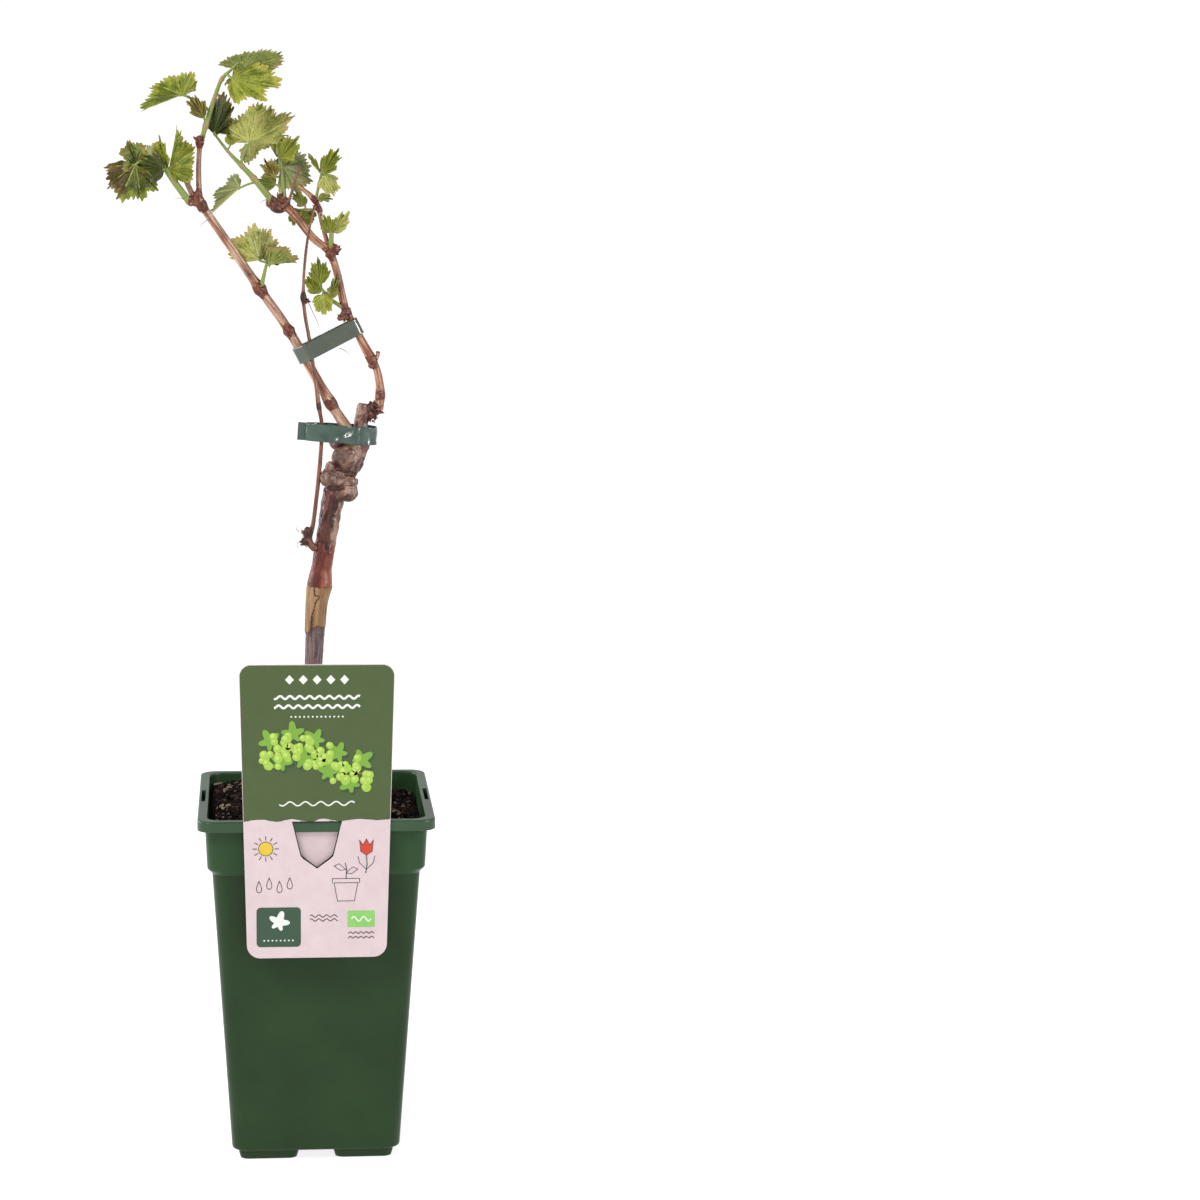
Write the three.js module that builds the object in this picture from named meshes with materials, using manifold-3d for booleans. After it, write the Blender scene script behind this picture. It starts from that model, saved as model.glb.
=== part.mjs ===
// A young grapevine in a deep square nursery pot: a pruned trunk with two canes, a thin shoot, new leaves,
// two tape ties and a card that hangs on the rim. Millimetres, +Z up. The origin is the middle of the pot's
// base, on the surface that it stands on. The card hangs on the -Y side, which is the front.
import * as THREE from 'three';
import { mergeVertices } from 'three/addons/utils/BufferGeometryUtils.js';
import Module from 'manifold-3d';

const wasm = await Module();
wasm.setup();

// Pot: half widths across the flats, heights above the ground, and corner radii
const FOOT_HEIGHT = 6.5;
const BASE_HALF = 50.5;
const BODY_TOP_HALF = 61.5;
const BODY_TOP = 180.5;
const COLLAR_LOW_HALF = 64.4;
const COLLAR_TOP_HALF = 65.8;
const COLLAR_BOTTOM = 184;
const RIM_HALF = 70;
const RIM_TOP = 215;
const SKIRT_BOTTOM = 208.5;
const WALL = 1.5;
const CORNER = 9;
const CORNER_STEPS = 4;
const FOOT_INNER = 10;
const FOOT_OUTER = 47;
const FOOT_TAPER = 1.5;
const FOOT_CORNER = 4;
const CENTRE_FOOT_RADIUS = 11;
const DRAIN_RADIUS = 4;
const DRAIN_OFFSET = 30;
const SLOT_LENGTH = 30;
const SLOT_INNER = 66.1;
const SLOT_OUTER = 68.5;
const EDGE = 1;
const SINK = 0.5;

// Soil
const SOIL_TOP = 206;
const SOIL_LUMP = 2.4;
const SOIL_SLOPE = 3;
const SOIL_RINGS = [57, 47, 36, 26];
const SOIL_FLAT_HALF = 18;
const GAP = 0.3;
const CUT_BACK = GAP + 0.05;

// Card on the rim, with the tongue that hooks over the front slot
const CARD_TOP = 309;
const CARD_BOTTOM = 132.7;
const CARD_TOP_HALF = 45.3;
const CARD_BOTTOM_HALF = 41.2;
const CARD_TOP_CORNER = 4.6;
const CARD_BOTTOM_CORNER = 8;
const CARD_THICKNESS = 0.8;
const CARD_BACK = -(RIM_HALF + GAP);
const TONGUE_HALF = 14.4;
const TONGUE_SHOULDER = 193;
const TONGUE_SHOULDER_HALF = 8.5;
const TONGUE_TIP = 187;
const TONGUE_Y = -67.3;
const TONGUE_CLEARANCE = 0.5;

// Limbs. A joint is its length, its lean from upright towards +X, its swing towards +Y, both in degrees, the
// limb's radius at its end, and how far the node there swells.
const TRUNK = {
  foot: [-7.1, 0, SOIL_TOP - 2],
  radius: 8.8,
  joints: [
    [14, 3, 0, 6.2, 0], [78, 4, 0, 5.3, 0], [38, 3, 1, 6.1, 0], [12, 9, 0, 7.6, 0], [9, 7, 0, 6.3, 0],
    [30, 9, -1, 6.2, 0], [16, 11, 0, 6.8, 0], [26, 24, 0, 9.6, 0], [14, 17, 1, 9.4, 0],
  ],
};
const TRUNK_GALLS = [
  { at: [18.4, -3, 398.5], size: [6.6, 7, 5.4] },
  { at: [14, 0.5, 407], size: [11.2, 9.5, 6.6] },
  { at: [19.5, -1, 419], size: [9.8, 9.4, 7.6] },
];
const TRUNK_HORN = { foot: [27, 1, 436], radius: 4.6, joints: [[10, 6, 2, 4, 0], [8, 9, 0, 3.2, 0]] };
const TRUNK_ARM = { foot: [27.5, 1, 445.2], radius: 3.6, joints: [[6, 58, 0, 4.2, 0], [6.4, 32, 0, 3.6, 0]] };

const LEFT_CANE = {
  foot: [19.5, -2.4, 438.8],
  radius: 3.4,
  joints: [
    [18.6, -33, 5.6, 3, 0.7], [49.7, -30, 3.5, 2.8, 0.7], [30, -34.5, -5, 2.7, 1.3], [61, -34.5, -7, 2.4, 1.2],
  ],
};
const FORK_LUMPS = [
  { at: [-68.6, -10, 574], size: [4.7, 4.2, 3.8] },
  { at: [-72.4, -11, 573.8], size: [3, 3, 3.2] },
];
const FORK_LIMB = {
  foot: [-67.6, -9.6, 573.5],
  radius: 1.7,
  joints: [[18.8, -1, 3, 1.5, 0], [15.5, 3, 3, 1.5, 1.2]],
};
const FORK_STUB = { foot: [-70.2, -8.4, 574], radius: 1.8, joints: [[17.5, -24, 4, 1.5, 0]] };
const RIGHT_CANE_LOWER = {
  foot: [37.4, 1, 450.6],
  radius: 3.4,
  joints: [[9, 10, 0, 2.6, 0.4], [15, -8, 0, 2.2, 0], [6.7, -27, 0, 2.2, 0.9], [33.5, -28, 2, 2.3, 1.2]],
};
const RIGHT_CANE_UPPER = {
  foot: [18.2, 2.1, 509],
  radius: 2.5,
  joints: [[35.4, -15.1, 3.3, 2.2, 1.2], [13.4, -48, 2, 2.3, 0], [22, -40, 2, 2.6, 0], [7, -60, 4, 3, 0]],
};
const CANE_LUMPS = [
  { at: [12, 4, 545.4], size: [2.8, 2.8, 3.4] },
  { at: [-21.4, 6, 570.8], size: [5.8, 5, 4.8] },
  { at: [-25.8, 6.2, 572.4], size: [3.4, 3.8, 3.6] },
  { at: [-17.4, 5.4, 573.2], size: [3.2, 3.6, 3] },
];
const SIDE_BRANCH = {
  foot: [8.6, 5.6, 545],
  radius: 1.4,
  joints: [
    [7.3, -15.6, 15, 1.4, 0], [11.5, -15, 2, 1.3, 0], [6, -10, 2, 1.2, 0.8], [6, -26, 0, 1.2, 0.8],
    [13, -48, 2, 1.1, 0.3],
  ],
};
const DRY_STUB = { foot: [-15.6, 4.6, 572.5], radius: 0.9, joints: [[23, 17, -8, 0.8, 0.5]] };
const THIN_SHOOT = {
  foot: [0.4, -2.6, 366.4],
  radius: 2.2,
  joints: [
    [6.4, -38, -2, 2.3, 0], [12.5, 12, -8, 1.3, 0], [57, 5, 1, 1.2, 0], [13, -8, -10, 1.2, 0.4],
    [36, -8, 3, 1.1, 0], [29, -8, 3, 1, 1], [34, 4, -1, 0.8, 0], [21, 12, 5, 0.7, 0.3],
  ],
};
const CANE_SIDES = 8;
const TRUNK_SIDES = 12;
const STEM_SIDES = 5;
const STALK_SIDES = 4;
const ARM_SIDES = 10;
const BALL_SIDES = [10, 7];
const LIMB_SPACING = 12;
const STEM_SPACING = 9;
const NODE_REACH = 2.4;
const NODE_SHARE = 0.4;

// Ties: flat tape in closed loops
const TAPE = 0.6;
const TAPE_CLEARANCE = 0.7;
const UPPER_TIE = { middle: [8, 0, 491.5], tilt: 27, width: 10 };
const LOWER_TIE = { middle: [12, 0, 436.5], tilt: -3.5, width: 10.5 };
const LOWER_BEND = { across: -15, depth: -1.5, radius: 2 };
const FLAG = { length: 4.6, drop: 0.4 };
const HULL_STEPS = 16;
const CROSSING_STEPS = 400;

// Leaves: reach of the lobes round the stalk's end, as shares of the spread and of the blade's length
const LOBES = [[0, 1], [0.2, 0.84], [0.4, 0.94], [0.6, 0.78], [0.8, 0.84], [1, 0.4]];
const NATURAL_WIDTH = 1.6;
const BLADE_THICKNESS = 0.45;
const TOOTH_DEPTH = 0.2;
const SMALL_BLADE = 13;
const FLAT_DROOP = 12;
const NO_BEND = 1e-4;
const FACING = new THREE.Vector3(0, -0.9, 0.44);
const STALK_RADIUS = 0.45;
const STALK_GAIN = 0.015;
const STALK_TAPER = 0.8;
const STALK_SINK = 0.8;

// Foliage masses. Each has a stem like a limb's, and leaves: where a leaf's stalk leaves the stem (0 foot, 1
// tip), the blade's root, its midrib as a vector, its width, how far the lobes go round from the midrib to
// each side, the fold of its left and right half towards the viewer, and any droop of its tip, in degrees.
const MASSES = {
  foliage_left: {
    foot: [-73.2, -11, 573],
    radius: 2.1,
    joints: [[16.6, -36, -4.5, 1.9, 0], [10, -34, -8, 1.5, 0.4]],
    leaves: [
      {
        at: 0.96, root: [-104, -18, 595], blade: [-10, -5, -21.5],
        width: 38, spread: 84, fold: [-20, -24], droop: 14,
      },
      { at: 0.97, root: [-105, -13, 599], blade: [-2, 2, 11.5], width: 13, spread: 110, fold: [30, 30] },
      {
        at: 0.9, root: [-91, -17, 600], blade: [-9, -4, -9],
        width: 15, spread: 120, fold: [20, 20], droop: 20,
      },
      { at: 1, root: [-86.5, -12, 595.5], blade: [-2.5, 1, 17.5], width: 12, spread: 60, fold: [0, 40] },
      { at: 1, root: [-84.5, -13, 595], blade: [4.5, -3, 24], width: 27, spread: 110, fold: [-130, 0] },
      {
        at: 0.95, root: [-94, -8, 598], blade: [-10, 13, -3],
        width: 19, spread: 130, fold: [15, 15], droop: 20,
      },
    ],
  },
  foliage_top: {
    foot: [-67, -7.6, 606],
    radius: 1.6,
    joints: [[11.6, 16, 2, 1.5, 0.4], [18, 18, 2, 1.3, 0], [11, 22, 0, 1.1, 0.4], [9, 45, -4, 0.8, 0]],
    leaves: [
      {
        at: 0.24, root: [-76, -10, 633.6], blade: [-24, -4, -10.3],
        width: 27, spread: 155, fold: [-130, 0],
      },
      { at: 0.2, root: [-64.5, -8, 622], blade: [-8.6, -2, 12], width: 12, spread: 60, fold: [20, 20] },
      { at: 1, root: [-42.5, -5, 650.6], blade: [26, 2, 8], width: 18, spread: 150, fold: [-8, -60] },
      { at: 0.78, root: [-48.5, -11, 644.5], blade: [30, -7, -7], width: 24, spread: 95, fold: [-30, 0] },
      {
        at: 0.98, root: [-40, 2, 650], blade: [8, 16, -1],
        width: 17, spread: 120, fold: [15, 15], droop: 20,
      },
    ],
  },
  foliage_centre: {
    foot: [-25.6, 4.6, 574.4],
    radius: 2.1,
    joints: [
      [16.5, -39.5, -7.8, 1.8, 0.4], [10, -44, -4, 1.4, 0.3], [11, -44, -3, 1, 0], [12, -38, -2, 0.7, 0],
    ],
    leaves: [
      { at: 0.3, root: [-38, -4, 608], blade: [26.5, -5, 15], width: 41, spread: 145, fold: [0, -130] },
      { at: 0.1, root: [-44, -2, 581.3], blade: [-16, -5, -14.5], width: 20, spread: 125, fold: [-125, 0] },
      { at: 1, root: [-59, 0, 612.5], blade: [7.5, 3, 26], width: 20, spread: 75, fold: [-35, -35] },
      { at: 0.72, root: [-49.5, 3, 606], blade: [1, 3, 11], width: 9, spread: 90, fold: [20, 20] },
      {
        at: 0.95, root: [-56.5, 5, 613], blade: [5, 14, 6],
        width: 17, spread: 120, fold: [15, 15], droop: 20,
      },
    ],
  },
  foliage_middle: {
    foot: [-18, 6, 575],
    radius: 1.6,
    joints: [[16, -6, 4, 1.2, 0], [9, -6, 3, 0.9, 0.4]],
    leaves: [
      { at: 0.35, root: [-23.6, 6, 587.4], blade: [-7.5, -2, 12], width: 14, spread: 80, fold: [20, 20] },
      { at: 0.12, root: [-23, 10, 583], blade: [-12, 3, 2.6], width: 12, spread: 90, fold: [10, 10] },
      { at: 0.98, root: [-21, 9, 600], blade: [-1.8, 2, 13.5], width: 9, spread: 90, fold: [20, 20] },
      { at: 1, root: [-19.4, 7, 599.6], blade: [11.5, -3, 11], width: 15, spread: 100, fold: [10, 10] },
      {
        at: 0.7, root: [-18, 10, 594], blade: [16, 7, -7],
        width: 26, spread: 110, fold: [-8, -8], droop: 12,
      },
      {
        at: 0.5, root: [-20, 12, 592], blade: [-6, 13, 5],
        width: 15, spread: 120, fold: [15, 15], droop: 20,
      },
    ],
  },
  foliage_right: {
    foot: [0.4, 8.4, 573.4],
    radius: 1,
    joints: [[10.8, 12, -2, 0.8, 0.3], [7.5, 13, -2, 0.7, 0]],
    leaves: [
      { at: 1, root: [3, 9, 591], blade: [-7.5, 2, 11.5], width: 7, spread: 60, fold: [20, 20] },
      { at: 1, root: [6, 7.5, 590.5], blade: [9.5, -4, 13.5], width: 16, spread: 85, fold: [10, 10] },
      { at: 0.9, root: [6, 6, 590], blade: [5, -4, -11], width: 16, spread: 90, fold: [-10, -10] },
      { at: 0.12, root: [2, 8, 575.5], blade: [7.5, -3, -1.5], width: 6, spread: 90, fold: [20, 20] },
      { at: 0.9, root: [5, 11, 589], blade: [2, 13, -3], width: 12, spread: 120, fold: [10, 10] },
    ],
  },
  foliage_under: {
    foot: [1, 8.4, 568.8],
    radius: 0.8,
    joints: [[11, -92, 10, 0.6, 0]],
    leaves: [
      { at: 0.5, root: [-5.5, 10.5, 571], blade: [-8, 2, 8], width: 8, spread: 90, fold: [10, 10] },
      { at: 1, root: [-11.5, 11.5, 567.5], blade: [-1, 1, -9], width: 9, spread: 110, fold: [10, 10] },
      { at: 0.4, root: [-4.5, 11.5, 567.5], blade: [0, 1, -9], width: 12, spread: 100, fold: [5, 5] },
    ],
  },
  foliage_bud: {
    foot: [9.4, 4.3, 545],
    radius: 1.7,
    joints: [[10.6, 3, 0, 1.3, 0]],
    leaves: [
      { at: 0.9, root: [9.2, 3.6, 555.5], blade: [-5, -3, 12], width: 11, spread: 80, fold: [10, 10] },
      { at: 0.9, root: [10.6, 4.6, 555.5], blade: [10.5, 1, 13.5], width: 11, spread: 80, fold: [10, 10] },
    ],
  },
  foliage_low: {
    foot: [16.8, 1.6, 511],
    radius: 1.3,
    joints: [[9.5, -55, -2.4, 1.1, 0], [5, -40, 4, 0.8, 0.3]],
    leaves: [
      { at: 1, root: [3, 0.6, 524.5], blade: [-1, -1, 17.5], width: 17, spread: 70, fold: [8, 8] },
      { at: 0.95, root: [1.6, 3.6, 519.5], blade: [-7, 4, 11], width: 11, spread: 90, fold: [10, 10] },
      { at: 0.5, root: [9.8, -1, 517.5], blade: [4, -2, 15], width: 8, spread: 90, fold: [15, 15] },
      { at: 0.9, root: [4.4, -1, 519], blade: [1, -4, -13], width: 14, spread: 90, fold: [-10, -10] },
    ],
  },
  foliage_cane: {
    foot: [-31.6, -3.6, 523.6],
    radius: 1.4,
    joints: [[12.8, 12.8, 7.6, 0.9, 0]],
    leaves: [
      {
        at: 0.95, root: [-32.5, -1, 539.5], blade: [-5.6, 2, 21.5],
        width: 40, spread: 76, fold: [-10, -45],
      },
      { at: 0.95, root: [-27.3, -4, 537.4], blade: [18.5, -4, 5], width: 20, spread: 110, fold: [0, -130] },
      { at: 0.9, root: [-28, 1, 538], blade: [5, 14, 3], width: 15, spread: 130, fold: [15, 15], droop: 20 },
    ],
  },
};

const COLOURS = {
  pot: 0x1f4a2c, soil: 0x2a211c, card: 0x5c7a4a, bark: 0x6b4230, cane: 0xa8714a, shoot: 0x6a4338,
  stub: 0x8a6252, tape: 0x3f6b58, leaf: 0x8a9b3a,
};

// A repeatable random number from 0 to 1
function seeded(seed) {
  let state = seed;
  return () => {
    state = (state * 1664525 + 1013904223) % 4294967296;
    return state / 4294967296;
  };
}

// Solids from geometries, and back
function toSolid(geometry) {
  const bare = geometry.clone();
  bare.deleteAttribute('normal');
  bare.deleteAttribute('uv');
  const merged = mergeVertices(bare, 1e-5);
  const vertProperties = new Float32Array(merged.attributes.position.array);
  const triVerts = new Uint32Array(merged.index.array);
  return new wasm.Manifold(new wasm.Mesh({ numProp: 3, vertProperties, triVerts }));
}

function toGeometry(solid) {
  const mesh = solid.getMesh();
  const geometry = new THREE.BufferGeometry();
  geometry.setAttribute('position', new THREE.BufferAttribute(mesh.vertProperties, 3));
  geometry.setIndex(new THREE.BufferAttribute(mesh.triVerts, 1));
  return geometry;
}

function join(geometries) {
  return geometries.map(toSolid).reduce((whole, next) => whole.add(next));
}

// The largest separate piece of a solid
function largest(solid) {
  const pieces = solid.decompose();
  return pieces.reduce((best, next) => (next.volume() > best.volume() ? next : best));
}

// A closed body through rings that all have the same number of points, capped at both ends
function loft(rings) {
  const count = rings[0].length;
  const index = [];
  for (let ring = 0; ring + 1 < rings.length; ring += 1) {
    for (let side = 0; side < count; side += 1) {
      const a = ring * count + side;
      const b = ring * count + ((side + 1) % count);
      index.push(a, b, b + count, a, b + count, a + count);
    }
  }
  const last = (rings.length - 1) * count;
  for (let side = 1; side + 1 < count; side += 1) {
    index.push(0, side + 1, side);
    index.push(last, last + side, last + side + 1);
  }
  const geometry = new THREE.BufferGeometry();
  const values = rings.flat().flatMap((point) => [point.x, point.y, point.z]);
  geometry.setAttribute('position', new THREE.BufferAttribute(new Float32Array(values), 3));
  geometry.setIndex(index);
  return geometry;
}

// The points where a limb's joints meet
function growPath({ foot, joints }) {
  const points = [new THREE.Vector3(...foot)];
  for (const [length, lean, swing] of joints) {
    const a = THREE.MathUtils.degToRad(lean);
    const b = THREE.MathUtils.degToRad(swing);
    const step = new THREE.Vector3(Math.sin(a) * Math.cos(b), Math.sin(b), Math.cos(a) * Math.cos(b));
    points.push(points.at(-1).clone().addScaledVector(step, length));
  }
  return points;
}

// Places along a limb where it gets a ring: between joints, and close to each side of a swollen node
function stations(limb, spacing) {
  const list = [];
  limb.joints.forEach(([length, , , endRadius, swell], joint) => {
    const steps = Math.max(1, Math.round(length / spacing));
    const nodeReach = Math.min(NODE_REACH / length, NODE_SHARE);
    for (let step = 0; step < steps; step += 1) {
      list.push({ at: joint + (step / steps) * (swell ? 1 - nodeReach : 1), share: step / steps, joint });
    }
    if (swell) {
      list.push({ at: joint + 1 - nodeReach, share: 1, joint });
    }
  });
  const rings = list.map(({ at, share, joint }) => {
    const start = joint === 0 ? limb.radius : limb.joints[joint - 1][3];
    const end = limb.joints[joint][3];
    const nodeSwell = share === 0 && joint > 0 ? limb.joints[joint - 1][4] : 0;
    return { at, radius: start + (end - start) * share + nodeSwell };
  });
  const tip = limb.joints.at(-1);
  rings.push({ at: limb.joints.length, radius: tip[3] + tip[4] });
  return rings;
}

// A tapering limb along its joints. Grown is how much thicker it is made all round.
function limbGeometry(limb, sides, spacing, grown = 0) {
  const curve = new THREE.CatmullRomCurve3(growPath(limb));
  const count = limb.joints.length;
  const rings = [];
  let side = new THREE.Vector3(0, -1, 0);
  for (const { at, radius } of stations(limb, spacing)) {
    const along = curve.getTangent(at / count);
    const end = at === 0 ? -grown : at === count ? grown : 0;
    const centre = curve.getPoint(at / count).addScaledVector(along, end);
    side = side.clone().addScaledVector(along, -side.dot(along)).normalize();
    const across = new THREE.Vector3().crossVectors(along, side);
    rings.push(Array.from({ length: sides }, (_, corner) => {
      const turn = (corner / sides) * 2 * Math.PI;
      return centre.clone()
        .addScaledVector(side, Math.cos(turn) * (radius + grown))
        .addScaledVector(across, Math.sin(turn) * (radius + grown));
    }));
  }
  return loft(rings);
}

function bulge({ at, size }, grown = 0) {
  const ball = new THREE.SphereGeometry(1, ...BALL_SIDES);
  ball.scale(size[0] + grown, size[1] + grown, size[2] + grown);
  ball.translate(...at);
  return ball;
}

// One level ring of a square with round corners
function squareRing(half, z, corner = CORNER) {
  const points = [];
  for (let quarter = 0; quarter < 4; quarter += 1) {
    for (let step = 0; step <= CORNER_STEPS; step += 1) {
      const turn = ((quarter + step / CORNER_STEPS) * Math.PI) / 2;
      const middle = ((quarter + 0.5) * Math.PI) / 2;
      const x = Math.sign(Math.cos(middle)) * (half - corner) + corner * Math.cos(turn);
      const y = Math.sign(Math.sin(middle)) * (half - corner) + corner * Math.sin(turn);
      points.push(new THREE.Vector3(x, y, z));
    }
  }
  return points;
}

function block(low, high) {
  const box = new THREE.BoxGeometry(high[0] - low[0], high[1] - low[1], high[2] - low[2]);
  box.translate((low[0] + high[0]) / 2, (low[1] + high[1]) / 2, (low[2] + high[2]) / 2);
  return box;
}

function disc(radius, low, high, x = 0, y = 0) {
  const round = new THREE.CylinderGeometry(radius, radius, high - low, 16);
  round.rotateX(Math.PI / 2);
  round.translate(x, y, (low + high) / 2);
  return round;
}

// Pot: one skin from the underside, up the body and collar, over the skirted rim and down inside
function potGeometry() {
  const flangeBottom = RIM_TOP - WALL;
  const profile = [
    [BASE_HALF - 2 * EDGE, FOOT_HEIGHT], [BASE_HALF, FOOT_HEIGHT + 2 * EDGE], [BODY_TOP_HALF, BODY_TOP],
    [COLLAR_LOW_HALF, COLLAR_BOTTOM], [COLLAR_TOP_HALF, flangeBottom], [RIM_HALF - WALL, flangeBottom],
    [RIM_HALF - WALL, SKIRT_BOTTOM], [RIM_HALF, SKIRT_BOTTOM], [RIM_HALF, RIM_TOP - EDGE],
    [RIM_HALF - EDGE, RIM_TOP], [COLLAR_TOP_HALF - WALL + EDGE, RIM_TOP],
    [COLLAR_TOP_HALF - WALL, RIM_TOP - EDGE], [COLLAR_LOW_HALF - WALL, COLLAR_BOTTOM + EDGE],
    [BODY_TOP_HALF - WALL, BODY_TOP - EDGE], [BASE_HALF - WALL, FOOT_HEIGHT + WALL + 2 * EDGE],
    [BASE_HALF - WALL - 2 * EDGE, FOOT_HEIGHT + WALL],
  ];
  let pot = toSolid(loft(profile.map(([half, z]) => squareRing(half, z))));
  const footMiddle = (FOOT_INNER + FOOT_OUTER) / 2;
  const footHalf = (FOOT_OUTER - FOOT_INNER) / 2;
  for (const [x, y] of [[1, 1], [-1, 1], [-1, -1], [1, -1]]) {
    const foot = loft([
      squareRing(footHalf - FOOT_TAPER, 0, FOOT_CORNER),
      squareRing(footHalf, FOOT_HEIGHT + SINK, FOOT_CORNER),
    ]);
    foot.translate(x * footMiddle, y * footMiddle, 0);
    pot = pot.add(toSolid(foot));
  }
  pot = pot.add(toSolid(disc(CENTRE_FOOT_RADIUS, 0, FOOT_HEIGHT + SINK)));
  for (const [x, y] of [[1, 0], [0, 1], [-1, 0], [0, -1]]) {
    const drainTop = FOOT_HEIGHT + WALL + EDGE;
    const drain = disc(DRAIN_RADIUS, FOOT_HEIGHT - EDGE, drainTop, x * DRAIN_OFFSET, y * DRAIN_OFFSET);
    pot = pot.subtract(toSolid(drain));
    const long = SLOT_LENGTH / 2;
    const [lowX, highX] = x === 0 ? [-long, long] : [x * SLOT_INNER, x * SLOT_OUTER].sort((a, b) => a - b);
    const [lowY, highY] = y === 0 ? [-long, long] : [y * SLOT_INNER, y * SLOT_OUTER].sort((a, b) => a - b);
    pot = pot.subtract(toSolid(block([lowX, lowY, flangeBottom - 1], [highX, highY, RIM_TOP + 1])));
  }
  return toGeometry(pot);
}

// Soil: fills the pot, with a lumpy top that is flat round the trunk
function soilGeometry() {
  const random = seeded(11);
  const inside = WALL + GAP;
  const rings = [
    squareRing(BASE_HALF - inside - 2 * EDGE, FOOT_HEIGHT + WALL + GAP),
    squareRing(BASE_HALF - inside, FOOT_HEIGHT + WALL + 2 * EDGE + GAP),
    squareRing(BODY_TOP_HALF - inside, BODY_TOP - EDGE + GAP),
    squareRing(COLLAR_LOW_HALF - inside - GAP, COLLAR_BOTTOM + EDGE + GAP),
    squareRing(COLLAR_TOP_HALF - inside - EDGE, SOIL_TOP - SOIL_LUMP),
  ];
  for (const half of SOIL_RINGS) {
    const ring = squareRing(half, SOIL_TOP);
    for (const point of ring) {
      const backLeft = Math.max(0, (point.y - point.x) / (2 * half));
      point.z += SOIL_LUMP * (random() - 0.5) * 2 + SOIL_SLOPE * backLeft - EDGE;
    }
    rings.push(ring);
  }
  rings.push(squareRing(SOIL_FLAT_HALF, SOIL_TOP));
  return loft(rings);
}

// Card: a tapering plate with round corners, cut round its tongue, and the tongue bent back over the rim
function cardOutline() {
  const shape = new THREE.Shape();
  shape.moveTo(-CARD_BOTTOM_HALF + CARD_BOTTOM_CORNER, CARD_BOTTOM);
  shape.lineTo(CARD_BOTTOM_HALF - CARD_BOTTOM_CORNER, CARD_BOTTOM);
  shape.quadraticCurveTo(CARD_BOTTOM_HALF, CARD_BOTTOM, CARD_BOTTOM_HALF, CARD_BOTTOM + CARD_BOTTOM_CORNER);
  shape.lineTo(CARD_TOP_HALF, CARD_TOP - CARD_TOP_CORNER);
  shape.quadraticCurveTo(CARD_TOP_HALF, CARD_TOP, CARD_TOP_HALF - CARD_TOP_CORNER, CARD_TOP);
  shape.lineTo(-CARD_TOP_HALF + CARD_TOP_CORNER, CARD_TOP);
  shape.quadraticCurveTo(-CARD_TOP_HALF, CARD_TOP, -CARD_TOP_HALF, CARD_TOP - CARD_TOP_CORNER);
  shape.lineTo(-CARD_BOTTOM_HALF, CARD_BOTTOM + CARD_BOTTOM_CORNER);
  shape.quadraticCurveTo(-CARD_BOTTOM_HALF, CARD_BOTTOM, -CARD_BOTTOM_HALF + CARD_BOTTOM_CORNER, CARD_BOTTOM);
  return shape;
}

function tongueOutline(clearance, top) {
  const shape = new THREE.Shape();
  shape.moveTo(-TONGUE_HALF - clearance, top);
  shape.lineTo(-TONGUE_SHOULDER_HALF - clearance, TONGUE_SHOULDER - clearance);
  shape.lineTo(0, TONGUE_TIP - clearance);
  shape.lineTo(TONGUE_SHOULDER_HALF + clearance, TONGUE_SHOULDER - clearance);
  shape.lineTo(TONGUE_HALF + clearance, top);
  return shape;
}

// A flat outline in X and Z given a thickness from front (lower Y) to back
function plate(shape, front, back) {
  const depth = back - front;
  const solid = new THREE.ExtrudeGeometry(shape, { depth, bevelEnabled: false, curveSegments: CORNER_STEPS });
  solid.rotateX(Math.PI / 2);
  solid.translate(0, back, 0);
  return solid;
}

function cardGeometry() {
  const front = CARD_BACK - CARD_THICKNESS;
  const windowTop = RIM_TOP + GAP;
  let card = toSolid(plate(cardOutline(), front, CARD_BACK));
  card = card.subtract(toSolid(plate(tongueOutline(TONGUE_CLEARANCE, windowTop), front - 1, CARD_BACK + 1)));
  const bridgeTop = windowTop + CARD_THICKNESS;
  const bridge = block([-TONGUE_HALF, front + 0.1, windowTop], [TONGUE_HALF, TONGUE_Y + 0.4, bridgeTop]);
  const tongue = plate(tongueOutline(0, bridgeTop - 0.1), TONGUE_Y - 0.4, TONGUE_Y + 0.4);
  return toGeometry(card.add(toSolid(bridge)).add(toSolid(tongue)));
}

// A limb and its lumps in one solid. Grown is how much thicker it is made all round.
function limbSolid({ limb, lumps = [], sides = CANE_SIDES }, grown = 0) {
  return join([limbGeometry(limb, sides, LIMB_SPACING, grown), ...lumps.map((lump) => bulge(lump, grown))]);
}

// Trunk: cut flat where it leaves the soil, with its galls, the cut horn and the arm to the right cane
function trunkSolid(grown = 0) {
  const stem = limbSolid({ limb: TRUNK, lumps: TRUNK_GALLS, sides: TRUNK_SIDES }, grown);
  const horn = limbSolid({ limb: TRUNK_HORN, sides: ARM_SIDES }, grown);
  const arm = limbSolid({ limb: TRUNK_ARM, sides: ARM_SIDES }, grown);
  const below = block([-RIM_HALF, -RIM_HALF, 0], [RIM_HALF, RIM_HALF, SOIL_TOP + GAP]);
  return stem.add(horn).add(arm).subtract(toSolid(below));
}

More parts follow.
